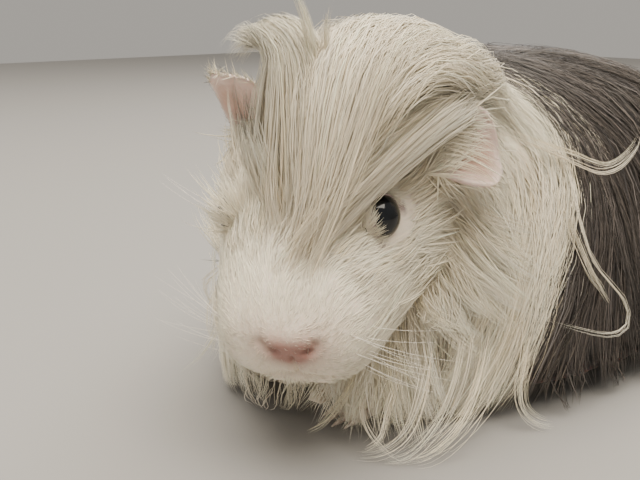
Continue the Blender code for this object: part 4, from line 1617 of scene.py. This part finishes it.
@dataclass
class Groomer:
    """Makes strands in locks that follow the lie of the coat."""

    animal: Animal
    envelope: Envelope
    seed: int
    floor: float = 0.6
    silver: float = 0.16  # the share of silvery hairs in the grey coat

    def __post_init__(self) -> None:
        """Starts the random numbers."""
        self.rng = np.random.default_rng(self.seed)

    def locks(self, paths: Array, normals: Array, style: Style, grey: Array) -> Strands:
        """Spreads hairs about each lock's middle line.

        Args:
            paths: The locks' middle lines.
            normals: The coat's normals beside them.
            style: How the hairs are spread.
            grey: How grey each lock is.

        Returns:
            The strands.
        """
        rng, each = self.rng, style.hairs
        count, known, _ = paths.shape
        own = np.repeat(np.arange(count), each)
        total = len(own)
        begin = rng.uniform(0.0, 0.16, total)
        finish = rng.uniform(0.80, 1.0, total) ** 0.8
        share = np.linspace(0, 1, style.places)
        at = (begin[:, None] + (finish - begin)[:, None] * share) * (known - 1)
        path, normal = read_along(paths, at, own), unit(read_along(normals, at, own))
        side = unit(np.cross(unit(np.gradient(path, axis=1)), normal))
        broad = np.tile(np.arange(each) < style.broad, count)[:, None]
        frizz = style.frizz * np.where(broad, 0.4, 1.0)
        reach = rng.normal(0.0, 0.5, total)[:, None]
        narrow = style.root_spread * (1 - share) ** 0.8 + style.tip_spread * share
        high = rng.uniform(-1.0, 1.0, total)[:, None] * style.thickness * (1 - 0.6 * share)
        high = high - 0.4 * broad - style.dive * bell(share / 0.10) + style.lift * share**2
        phase = rng.uniform(0, FULL_TURN, (total, 2))
        wave, wave2 = (
            np.sin(share * pace + start) - np.sin(start) for pace, start in ((5.0, phase[:, :1]), (8.0, phase[:, 1:]))
        )
        path = path + side * (reach * narrow + frizz * wave)[:, :, None]
        path = path + normal * (high + frizz * 0.5 * wave2)[:, :, None]
        path[..., 2] = np.maximum(path[..., 2], self.floor)
        width = style.half_width * rng.lognormal(-0.08, 0.28, total)[:, None] * np.where(broad, 3.5, 1.0)
        taper = np.minimum(1.0, 0.55 + share * 3.0) * (1 - share**2.2 * 0.92)
        tone = rng.normal(1.0, 0.035, (count, 1)) + rng.normal(0.0, 0.025, (count, 1)) * np.array((0.2, 0.0, -1.0))
        colours = self.hair_colours(grey[own], share) * tone[own][:, None]
        return Strands(path, normal * style.follow, width * taper, np.clip(colours, 0.0, BRIGHTEST))

    def hair_colours(self, grey: Array, share: Array) -> Array:
        """A colour for each place on each hair, cream white or grey brown with silvery hairs among it."""
        rng, count = self.rng, len(grey)
        fade = smooth(share)[None, :, None]
        pale, dark = mixed(*HAIR_WHITE, fade), mixed(*HAIR_GREY, fade)
        tone = rng.normal(1.0, 0.035, count)[:, None, None]
        warm = 1.0 + rng.normal(0.0, 0.02, count)[:, None, None] * np.array((1.0, 0.0, -1.6))
        silver = rng.random(count) < self.silver
        depth = np.where(silver, rng.uniform(2.0, 3.4, count), rng.lognormal(0.0, 0.35, count))[:, None, None]
        amount = (rng.random(count) < grey)[:, None, None]
        return np.clip(np.where(amount, dark * depth, pale) * tone * warm, 0.0, BRIGHTEST)

    def long_hair(
        self, count: int, weight: Array, style: Style, reach: Pair, depth: Pair,
        whole: bool = True, by_place: Profile | None = None,
    ) -> Strands:
        """Long locks that start all over a part of the coat's surface.

        Args:
            count: Number of locks.
            weight: How thickly they grow at each face of the surface.
            style: How their hairs are spread.
            reach: Shortest and longest lock.
            depth: Least and greatest depth under the outer surface.
            whole: Whether locks may cross the ears.
            by_place: What the lengths are multiplied by, at each distance back from the nose.

        Returns:
            The strands.
        """
        rng = self.rng
        roots = self.envelope.sample(rng, count, weight)
        lengths = rng.uniform(*reach, count)
        if by_place:
            lengths = lengths * by_place.at(self.animal.pose.to_head(roots)[:, 1])
        depths = rng.uniform(*depth, count) + 0.6 * ripple(roots, 14.0, self.seed)
        swirl = 0.35 * ripple(roots, 40.0, self.seed + 1) + rng.normal(0.0, 0.10, count)
        paths, normals = self.envelope.trace(roots, lengths, np.maximum(0.15, depths), swirl, 24)
        if not whole:
            kept = self._clear_of_ears(paths, 6.5, 0.35)
            paths, normals = paths[kept], normals[kept]
        return self.locks(paths, normals, style, self.animal.greyness(paths[:, paths.shape[1] // 2]))

    def _clear_of_ears(self, paths: Array, gap: float, share: float) -> Array:
        """Which locks stay away from the eyes, and from the ears apart from a share that crosses them."""
        kept = np.ones(len(paths), bool)
        for ear in EARS.values():
            middle = self.animal.pose.from_head(ear.point(0.6, 0.1))
            near = np.linalg.norm(paths - middle, axis=2).min(axis=1) < gap
            kept &= ~near | (self.rng.random(len(paths)) < share)
        for side in (1, -1):
            middle, axis, _, _ = eye_frame(self.animal, side)
            front = self.animal.pose.from_head(middle + axis * EYE_RADIUS)
            kept &= np.linalg.norm(paths - front, axis=2).min(axis=1) > EYE_CLEAR
        return kept

    def tuft_hair(
        self, tuft: Tuft, count: int, style: Style, fill: Pair,
        onward: Pair = (0.0, 0.0), curl: Triple = (0.0, 0.0, 0.0),
        around: Pair = (0.0, FULL_TURN),
    ) -> Strands:
        """Locks that rise from the forehead, fill a tuft of the crest and run on past its end.

        Args:
            tuft: The tuft.
            count: Number of locks.
            style: How their hairs are spread.
            fill: How near and how far from the tuft's middle line the locks run, as shares of its half size.
            onward: Shortest and longest run along the coat past the tuft's end, or nothing for free tips.
            curl: Where free tips bend to, in the head's frame, in millimetres.
            around: The part of the tuft's section that the locks fill, as angles from its left side.

        Returns:
            The strands.
        """
        rng, pose, known = self.rng, self.animal.pose, 60
        turn, reach = rng.uniform(*around, count), rng.uniform(*fill, count)
        share = np.linspace(0, 1, 20)
        at = rng.uniform(0.80, 1.0, count)[:, None] * share * (known - 1)
        tables = tuft.frame(known)
        line, size, across, rise = (read_along(table[None], at, np.zeros(count, int)) for table in tables)
        cos, sin = np.cos(turn) * reach, np.sin(turn) * reach
        outward = across * (size[..., 0] * cos[:, None])[..., None] + rise * (size[..., 1] * sin[:, None])[..., None]
        (first, size), (end, _) = ((tables[0][k], tables[1][k]) for k in (0, -1))
        side = 0.35 * first[0] + 1.5 * size[0] * cos
        back = first[1] + 2.0 - 4.0 * size[1] * sin
        back = back - 8.0 * cos * (end[0] > 0)
        back = np.clip(back + rng.normal(0.0, 5.0, count), 12.0, 54.0)
        root = np.stack([side, back, self.animal.head.top.at(back) - 1.0 - 0.013 * side**2], axis=1)
        paths = mixed(root[:, None], line + outward, smooth(share * 2.4)[None, :, None])
        bend = np.array(curl) + rng.normal(0.0, 1.5, (count, 3)) * (np.linalg.norm(curl) > 0)
        paths = paths + bend[:, None] * (np.maximum(0.0, share - 0.55) / 0.45)[None, :, None] ** 2
        paths, normals = pose.from_head(paths), unit(outward + 1e-6) @ pose.turn.T
        if onward[1] > 0:
            lengths, depths = rng.uniform(*onward, count), rng.uniform(0.1, 3.0, count)
            more = self.envelope.trace(paths[:, -1], lengths, depths, rng.normal(0.0, 0.12, count), 20)
            paths, normals = (np.concatenate([old, new[:, 1:]], axis=1) for old, new in zip((paths, normals), more))
        kept = self._clear_of_ears(paths, 8.0, 0.25)
        return self.locks(*resampled(paths[kept], normals[kept], 28), style, np.zeros(int(kept.sum())))

    def hanging_hair(
        self, ends: tuple[tuple[Triple, Triple], ...], count: int, style: Style, outward: Triple = (0.55, -0.85, 0.0)
    ) -> Strands:
        """Locks that hang from one line to another.

        Args:
            ends: Pairs of a root in the head's frame and an end in the body's frame.
            count: Number of locks.
            style: How their hairs are spread.
            outward: The way in which the locks bulge.

        Returns:
            The strands.
        """
        rng, pose, out = self.rng, self.animal.pose, unit(np.array(outward))
        tops, feet = np.array(ends, float).swapaxes(0, 1)
        at, knots = rng.uniform(0, len(ends) - 1, count), np.arange(len(ends))
        top, foot = (
            np.stack([np.interp(at, knots, column) for column in line.T], axis=1)
            for line in (pose.from_head(tops), pose.from_body(feet))
        )
        top = top + rng.normal(0, 2.0, (count, 3))
        foot[:, :2] += rng.normal(0, 2.5, (count, 2))
        foot[:, 2] += 13.0 * rng.random(count) ** 1.6
        share = np.linspace(0, 1, 25)[None, :, None]
        sweep = rng.normal(0.35, 0.8, (count, 1, 1)) * np.array((0.9, 0.5, 0.0))
        paths = mixed(top[:, None], foot[:, None], share)
        paths = paths + out * (np.sin(share * math.pi) * rng.uniform(1.0, 5.0, (count, 1, 1)))
        paths = paths + sweep * 6.0 * share**3
        return self.locks(paths, np.broadcast_to(out, paths.shape).copy(), style, np.zeros(count))

    def loose_hair(self, style: Style) -> Strands:
        """Thin locks that hang free of the coat."""
        parts = []
        for lock in LOOSE_LOCKS:
            share = np.linspace(0, len(lock.path) - 1, 29)
            place = curve(lock.path, share)
            path = self.animal.pose.from_body(place)[None]
            normal = np.repeat(unit(np.array([[[place[:, 0].mean(), 0.0, 40.0]]])), len(share), axis=1)
            own = replace(
                style, hairs=lock.hairs, root_spread=lock.spread * 1.6, tip_spread=lock.spread,
                half_width=lock.half_width, thickness=lock.spread * 0.6,
            )
            parts.append(self.locks(path, normal, own, np.zeros(1)))
        return Strands.joined(parts)


@dataclass
class FaceFur:
    """Short fur on the head, ears and feet, in small tufts rooted on the skin."""

    animal: Animal
    envelope: Envelope
    skin: Skin
    seed: int = 3
    veil: Triple = (-19.5, 28.5, 18.5)
    lengths: Table = (
        (0, 4, 12, 24, 38, 55, 70), (2.1, 3.2, 5.0, 6.6, 8.5, 12.0, 15.0),
    )  # distances back from the nose, and how long the fur is there
    rises: Table = ((0, 10, 40, 70), (0.30, 0.26, 0.30, 0.34))

    def build(self, count: int, places: int, growth: Growth) -> Strands:
        """Grows short tufts.

        Args:
            count: Number of tufts.
            places: Places along each tuft.
            growth: Which fur this is: it sets where it grows and how long it is.

        Returns:
            The tufts.
        """
        rng, skin, pose = np.random.default_rng(self.seed + places), self.skin, self.animal.pose
        corners = skin.places[skin.corners]
        middle = corners.mean(axis=1)
        picked, share = scatter(rng, corners, self._density(pose.to_head(middle), middle, growth), count)
        root = (corners[picked] * share).sum(axis=1)
        normal = unit((skin.normals[skin.corners[picked]] * share).sum(axis=1))
        faces = [self.envelope.tree.find_nearest(Vector(p))[2] for p in root]
        spot = pose.to_head(root)
        gap, out, _, outward = ear_place(spot)
        on_ear = ((gap < EAR_FUR) & (out > 0.2))[:, None]
        way = np.where(on_ear, outward @ pose.turn.T, self.envelope.lie[faces])
        gap, _, front = eye_place(self.animal, spot)
        by_eye = gap < EYE_FUR
        over = np.stack([0.43 * np.sign(spot[:, 0]), np.full(count, 0.77), np.full(count, 0.46)], axis=1)
        way = np.where((by_eye & (front > 0.1))[:, None], over @ pose.turn.T, way)
        way = way + (0.16 - 0.09 * by_eye)[:, None] * rng.normal(size=(count, 3))
        way += 0.35 * ripple(root, 11.0, 8)[:, None] * np.cross(normal, way)
        way = unit(way - normal * (way * normal).sum(axis=1, keepdims=True))
        length = self._length(spot, growth) * rng.uniform(0.7, 1.2, count)
        rise = self._rise(spot, growth) * rng.uniform(0.6, 1.4, count) * np.where(on_ear[:, 0], 0.4, 1.0)
        along = np.linspace(0, 1, places)
        bend = rise[:, None, None] * (along - 0.45 * along**2)[None, :, None]
        path = root[:, None] - normal[:, None] * 0.3
        path = path + (way[:, None] * along[None, :, None] + normal[:, None] * bend) * length[:, None, None]
        path[..., 2] = np.maximum(path[..., 2], 0.4)
        taper = np.linspace(1.0, 0.12, places) ** 0.8
        width = (0.15 + 0.011 * length)[:, None] * rng.uniform(0.7, 1.2, count)[:, None] * taper
        width = width * np.where(on_ear[:, 0] | by_eye, 0.6, 1.0)[:, None]
        colours = self._colours(rng, spot, root, along)
        follow = np.where(on_ear, 0.6, 0.5 if growth is Growth.TEMPLE else 1.5)
        return Strands(path, np.repeat((normal * follow)[:, None], places, axis=1), width, colours)

    def _density(self, point: Array, middle: Array, growth: Growth) -> Array:
        """How thickly tufts grow at places given in the head's frame and in the model."""
        if growth is Growth.FOOT:
            return (middle[:, 2] < 16) * 1.0
        side, back, high = point.T
        gap, out, across, _ = ear_place(point)
        on_ear = gap < EAR_FUR
        on_head = (back > -6) & (back < 72) & (np.abs(side) < 42) & (self.animal.head.nearness(point) < 1.25)
        inside = (self.animal.body.nearness(self.animal.pose.to_body(middle)) < 0.86) & (back > 50)
        thick = np.where(back < 8, 1.6, 1.0)
        if growth is Growth.TEMPLE:
            jaw = bell((high + 7) / 6) * smooth((back - 12) / 8) * (side > 6)
            brow = smooth((back - 24) / 10) * smooth((high + 8) / 10)
            thick = thick * (brow * (0.3 + (side < -8)) + 1.2 * jaw)
            thick = thick * np.where(on_ear & (out > 0.1), 0.06, np.where(gap < 6.0, 0.25, 1.0))
        inner = on_ear * smooth(1.2 - np.maximum(np.abs(across), out)) * smooth(out / 0.3)
        gap, past, _ = eye_place(self.animal, point)
        clear = np.where(gap < 7.4, smooth((past - 0.05) / 0.08), 1.0) * (1 + 2.5 * bell(gap / 8.5, 6))
        thick = thick * (1 - 0.45 * inner)
        return ((on_head & ~inside) | on_ear) * thick * (1 - 0.9 * nose_nearness(point, 0.7)) * clear

    def _length(self, point: Array, growth: Growth) -> Array:
        """How long tufts are at each place."""
        if growth is Growth.FOOT:
            return np.full(len(point), 4.0)
        length = np.interp(point[:, 1], *self.lengths) * (1 - 0.5 * nose_nearness(point, 1.2))
        length = length * (1 + 0.8 * (smooth((7 - point[:, 2]) / 12) * smooth((point[:, 1] - 12) / 18)))
        veil = self._veil(point)
        gap, past, front = eye_place(self.animal, point)
        length = length * (1 - 0.5 * bell(gap / 9.0, 4)) * (1 + 1.0 * veil)
        cap = 1.3 + 5.0 * np.maximum(0.0, past) + 1.7 * smooth((front - 0.35) / 0.4) + 8.0 * veil
        length = np.where(gap < EYE_FUR, np.minimum(length, cap), length)
        gap, out, across, _ = ear_place(point)
        rim = smooth((np.maximum(np.abs(across), out) - 0.75) / 0.25)
        on_petal = 1.7 + 1.2 * rim + 1.8 * smooth((out - 0.7) / 0.3)
        length = np.where((gap < EAR_FUR) & (out > 0.15), on_petal, length)
        return length * (1.5 if growth is Growth.TEMPLE else 1.0)

    def _veil(self, point: Array) -> Array:
        """How near places are to the longer fur in front of the right eye."""
        return np.exp(-(((point - np.array(self.veil)) / 4.5) ** 2).sum(axis=1))

    def _rise(self, point: Array, growth: Growth) -> Array:
        """How steeply tufts stand up at each place."""
        rise = np.interp(point[:, 1], *self.rises) * (1 + 2.2 * self._veil(point))
        return rise * (np.where(point[:, 0] > 6, 1.2, 2.2) if growth is Growth.TEMPLE else 1.0)

    def _colours(self, rng: Random, point: Array, root: Array, share: Array) -> Array:
        """Cream white, rosier near the nose and grey on the hind feet."""
        rosy, grey = nose_nearness(point, 1.45)[:, None, None], self.animal.greyness(root)[:, None, None]
        colour = mixed(*FUR_WHITE, share[None, :, None])
        colour = colour * (1 - 0.8 * rosy) + np.array(FUR_ROSY) * 0.8 * rosy
        tone = rng.normal(0.99, 0.05, len(point))[:, None, None]
        return np.clip(mixed(colour, FUR_GREY, grey) * tone, 0.0, BRIGHTEST)


@dataclass
class Whiskers:
    """Long stiff hairs on the whisker pads, over the eyes and under the chin."""

    animal: Animal
    seed: int = 8
    on_pads: int = 15
    over_eye: int = 4
    under_chin: int = 5
    places: int = 7
    half_width: float = 0.115

    def build(self) -> Strands:
        """Grows every whisker as one long thin strand."""
        rng = np.random.default_rng(self.seed)
        rows = []
        for side, drop, ahead, longest in ((1, -0.60, (-0.25, 0.30), 34), (-1, 0.10, (0.0, 0.55), 30)):
            for _ in range(self.on_pads):
                back, high = rng.uniform(4, 11), rng.uniform(-6, 6)
                way = np.array((side * 0.80, rng.uniform(*ahead), 0.04 * high + drop + rng.normal(0, 0.12)))
                rows.append((np.array((side * (9.0 + 0.9 * back), back, high)), way, rng.uniform(18, longest)))
        for _ in range(self.over_eye):
            root = np.array((-rng.uniform(18, 23), rng.uniform(26, 32), rng.uniform(19, 22)))
            rows.append((root, np.array((-0.75, -0.1, 0.7)), rng.uniform(14, 22)))
        for _ in range(self.under_chin):
            rows.append((np.array((rng.uniform(-6, 8), 6.0, -14.0)), np.array((0.1, -0.25, -1.0)), rng.uniform(6, 11)))
        share = np.linspace(0, 1, self.places)[:, None]
        paths = []
        low, high = (np.array(corner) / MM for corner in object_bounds())
        for root, way, length in rows:
            droop = np.array((0.0, 0.25, -0.10)) * rng.uniform(0.3, 1.2)
            path = self.animal.pose.from_head(root + (unit(way) * share + droop * share**2) * length)
            reach = path[-1] - path[0]
            room = np.where(reach > 0, high - path[0], low - path[0]) / np.where(np.abs(reach) < 1e-6, 1e-6, reach)
            paths.append(path[0] + (path - path[0]) * min(1.0, room.min()))
        paths = np.array(paths)
        paths[..., 2] = np.maximum(paths[..., 2], 1.0)
        normals = np.full(paths.shape, (0.0, 0.0, 0.3))
        widths = np.repeat(self.half_width * (1 - 0.8 * share.T), len(paths), axis=0)
        return Strands(paths, normals, widths, np.full(paths.shape, 0.86) * np.array(WHISKER))


# --- the studio ---
def heading(turn: float, lift: float) -> Array:
    """The way from the animal towards a place at a turn to its left and a height, both in degrees."""
    turn, lift = math.radians(turn), math.radians(lift)
    return np.array((math.sin(turn) * math.cos(lift), -math.cos(turn) * math.cos(lift), math.sin(lift)))


@dataclass(frozen=True)
class Lamp:
    """A square lamp that looks at the animal, with its size in metres and its power in watts."""

    name: str
    place: Triple
    size: float
    power: float
    colour: Triple

    def hang(self) -> None:
        """Adds the lamp to the scene."""
        lamp = bpy.data.lights.new(self.name, "AREA")
        lamp.size, lamp.energy, lamp.color = self.size, self.power, self.colour
        holder = placed(self.name, lamp)
        holder.location = self.place
        gaze = Vector((0.0, 0.0, 0.05)) - Vector(self.place)
        holder.rotation_euler = gaze.to_track_quat("-Z", "Y").to_euler()


@dataclass
class Studio:
    """A plain pale floor, soft lights and the camera."""

    animal: Animal
    distance: float = 190.0
    view_angle: float = 45.0
    stands: Pair = (50.0, 15.0)  # where the camera stands from the eyes: turn and lift, in degrees
    looks: Pair = (48.77, 16.78)  # against which heading it looks
    sensor: float = 36.0
    floor_half: float = 1500.0
    lamps: tuple[Lamp, ...] = (
        Lamp("key", (0.16, -0.10, 1.15), 1.2, 40.0, (1.0, 0.92, 0.80)),
        Lamp("fill", (-0.75, -0.85, 0.45), 1.0, 2.6, (1.0, 0.94, 0.86)),
        Lamp("rim", (-0.35, 0.85, 0.75), 0.7, 6.0, (1.0, 0.98, 0.95)),
    )
    room_colour: Triple = (0.84, 0.79, 0.72)
    room_strength: float = 0.52

    def floor(self) -> None:
        """Lays the floor."""
        bm = bmesh.new()
        bmesh.ops.create_grid(bm, x_segments=2, y_segments=2, size=self.floor_half)
        plane = object_of(bm, "floor")
        plane.data.materials.append(FloorFinish().make())
        plane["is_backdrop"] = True

    def camera(self) -> None:
        """Places the camera in front and to the left of the head, a little above it."""
        eyes = self.animal.pose.from_head(Pose.EYES_IN_HEAD)
        lens = bpy.data.cameras.new("camera")
        lens.sensor_width = self.sensor
        lens.lens = self.sensor / 2 / math.tan(math.radians(self.view_angle / 2))
        lens.clip_start = 0.01
        camera = placed("camera", lens)
        camera.location = Vector((eyes + heading(*self.stands) * self.distance) * MM)
        camera.rotation_euler = Vector(-heading(*self.looks)).to_track_quat("-Z", "Y").to_euler()
        bpy.context.scene.camera = camera

    def lights(self) -> None:
        """Hangs a large soft key, a fill and a rim light, in a pale room."""
        for lamp in self.lamps:
            lamp.hang()
        world = bpy.data.worlds.new("room")
        bpy.context.scene.world = world
        world.use_nodes = True
        background = world.node_tree.nodes["Background"]
        background.inputs["Color"].default_value = (*self.room_colour, 1.0)
        background.inputs["Strength"].default_value = self.room_strength


def dress_claws(nodes: CadNodes, material: Material) -> None:
    """Gives the claws their finish."""
    for name, node in nodes.items():
        if "claw" in name:
            node.data.materials.clear()
            node.data.materials.append(material)
            node.data.shade_smooth()


@dataclass
class Wardrobe:
    """The whole coat, region by region."""

    animal: Animal
    envelope: Envelope
    skin: Skin
    coat: Coat
    thin: float

    def __post_init__(self) -> None:
        """Marks out the regions of the coat's outer surface."""
        middles = self.envelope.places[self.envelope.faces].mean(axis=1)
        self.in_head = self.animal.pose.to_head(middles)
        self.in_body = self.animal.pose.to_body(middles)
        station = self.animal.body.station_of(self.in_body)
        near = self.animal.body.nearness(self.in_body)
        above_floor = self.in_body[:, 2] > 5.0
        at_ends = (near < 1.05) & ((station < 7.0) | (station > 226.0))
        self.dome = ((np.abs(near - 1.0) < 0.05) | at_ends) & above_floor
        on_head = (np.abs(self.animal.head.nearness(self.in_head) - 1.0) < 0.05) & (self.in_head[:, 1] < 78)
        gaps = [tuft_gaps(self.in_head, *tuft.line(30)).min(axis=1) for tuft in (CREST_LEFT, CREST_RIGHT)]
        crest = (np.minimum(*gaps) < 1.25) & ~on_head
        self.head = on_head & ~self.dome
        self.between = ~(self.dome | self.head | crest) & above_floor
        self.grey = self.animal.greyness(middles)
        self.high = smooth(self.in_body[:, 2] / 70.0)

    def dress(self) -> int:
        """Builds every piece of the coat.

        Returns:
            The number of triangles.
        """
        regions = (self._short, self._crest, self._brow, self._jowl, self._mane, self._body, self._extras)
        return sum(region() for region in regions)

    def _count(self, whole: int) -> int:
        return max(1, int(whole * self.thin))

    def _groomer(self, region: Region) -> Groomer:
        """A maker of locks with the region's own random numbers."""
        return Groomer(self.animal, self.envelope, region.value)

    def _build(self, name: str, strands: Strands, stands_for: tuple[str, ...] = ()) -> int:
        """Builds a white piece of the coat."""
        return self.coat.build(name, strands, "white_coat", stands_for)

    def _short(self) -> int:
        """The short fur of the head and feet."""
        fur = FaceFur(self.animal, self.envelope, self.skin)
        kinds = (
            ("coat_face", 28500, 3, Growth.FACE),
            ("coat_fluff", 2000, 5, Growth.TEMPLE),
            ("coat_feet", 2500, 2, Growth.FOOT),
        )
        return sum(self._build(name, fur.build(self._count(many), places, kind)) for name, many, places, kind in kinds)

    def _crest(self) -> int:
        """The two tufts of the crest, the sweep over the brow and the wisps between them."""
        groomer = self._groomer(Region.CREST)
        style = Style(16, 10, 3.8, 1.6, 0.4, 0.105, 0.4, follow=1.3)
        over = (-0.4, math.pi + 0.5)
        left = groomer.tuft_hair(CREST_LEFT, self._count(245), style, (0.70, 0.98), (25, 75), around=over)
        free = replace(style, follow=0.6)
        right = groomer.tuft_hair(CREST_FLOP, self._count(78), free, (0.55, 0.97), curl=(-1.5, 0.0, -2.5))
        sweep = groomer.tuft_hair(BROW_SWEEP, self._count(62), style, (0.6, 0.95), (15, 45), around=(-0.3, math.pi))
        wisp = replace(style, hairs=16, root_spread=1.6, tip_spread=0.4, thickness=0.5, broad=2, follow=0.2)
        wisps = [groomer.tuft_hair(tuft, 4, wisp, (0.2, 0.95)) for tuft in WISPS]
        strands = Strands.joined([left, right, sweep, *wisps])
        return self._build("coat_crest", strands, ("crest_left", "crest_right", "crest_wisp"))

    def _brow(self) -> int:
        """Longer hair that sweeps up the forehead and back over the temples."""
        back, up = self.in_head[:, 1], self.in_head[:, 2]
        reach = smooth((back - 12.0) / 14.0) * smooth((up - 6.0) / 8.0) + smooth((back - 42.0) / 14.0)
        style = Style(13, 6, 2.8, 1.3, 0.35, 0.09, 0.3, dive=2.6, follow=1.5)
        by_place = Profile(((12, 9), (24, 16), (36, 27), (50, 38), (75, 44)))
        area = self.head * reach
        brow = self._groomer(Region.BROW)
        strands = brow.long_hair(self._count(560), area, style, (0.75, 1.15), (0.0, 1.9), False, by_place)
        return self._build("coat_brow", strands)

    def _jowl(self) -> int:
        """Hair that carries the cheeks and throat over into the mane."""
        groomer = self._groomer(Region.JOWL)
        rear = smooth((self.in_head[:, 1] - 32.0) / 16.0) * smooth((8.0 - self.in_head[:, 2]) / 6.0)
        style = Style(13, 6, 3.4, 1.2, 0.6, 0.105, 0.5, follow=1.2)
        area = self.between * (self.grey < 0.5) + self.head * rear
        strands = groomer.long_hair(self._count(230), area, style, (26, 52), (0.0, 3.0), whole=False)
        fringe = groomer.hanging_hair(THROAT, self._count(66), style)
        cheek = groomer.hanging_hair(CHEEK, self._count(66), style)
        far = groomer.hanging_hair(CHEEK_RIGHT, self._count(46), style, (-0.35, -0.93, 0.0))
        return self._build("coat_jowl", Strands.joined([strands, fringe, cheek, far]))

    def _mane(self) -> int:
        """The white mane that falls from the neck to the floor."""
        style = Style(14, 6, 4.8, 1.9, 0.5, 0.12, 0.6, lift=0.4, follow=1.2)
        area = self.dome * (1 - self.grey) * (0.12 + self.high)
        return self._build(
            "coat_mane",
            self._groomer(Region.MANE).long_hair(
                self._count(500), area, style, (60, 120), (0.0, 2.6), whole=False
            ),
        )

    def _body(self) -> int:
        """The grey coat of the back, flanks and rump."""
        style = Style(12, 6, 5.2, 2.0, 0.7, 0.17, 0.8, lift=0.5)
        ridge = smooth((self.in_body[:, 2] - 80.0) / 14.0)
        area = self.dome * self.grey * (0.10 + self.high + 1.6 * ridge)
        strands = self._groomer(Region.BODY).long_hair(self._count(760), area, style, (65, 130), (0.0, 2.6))
        grey = replace(self.coat, material=HairFinish("grey_hair_finish", sheen=0.04).make())
        return grey.build("coat_body", strands, "grey_coat")

    def _extras(self) -> int:
        """Loose locks and whiskers."""
        style = Style(12, 14, 1.0, 0.8, 0.5, 0.10, 0.3, dive=0.0, follow=0.25)
        made = self._build("coat_loose", self._groomer(Region.LOOSE).loose_hair(style))
        return made + self._build("coat_whiskers", Whiskers(self.animal).build())


def main() -> None:
    """Builds the animal and its studio."""
    logging.basicConfig(level=logging.INFO, format="%(message)s")
    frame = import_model()
    nodes = frame["nodes"]
    animal = Animal(Pose.from_eyes())
    studio = Studio(animal)
    studio.camera()
    studio.floor()
    studio.lights()

    thin = 1.0
    envelope = Envelope(animal, nodes)
    LOG.info("envelope: %d faces", len(envelope.faces))
    skin = Skin(animal, nodes)
    skin.build()
    skin_finish = SkinFinish().make()
    skin.dress(skin_finish)
    Undercoat(animal, nodes).build(skin_finish)
    LOG.info("skin: %d triangles", len(skin.corners))
    eye_finish = EyeFinish().make()
    for name in ("eye_left", "eye_right"):
        Eye(animal, name).build(eye_finish)
    dress_claws(nodes, HornFinish().make())

    hair = HairFinish("hair_finish").make()
    total = Wardrobe(animal, envelope, skin, Coat(skin, hair), thin).dress()
    LOG.info("coat: %d triangles in all", total)


if __name__ == "__main__":
    main()
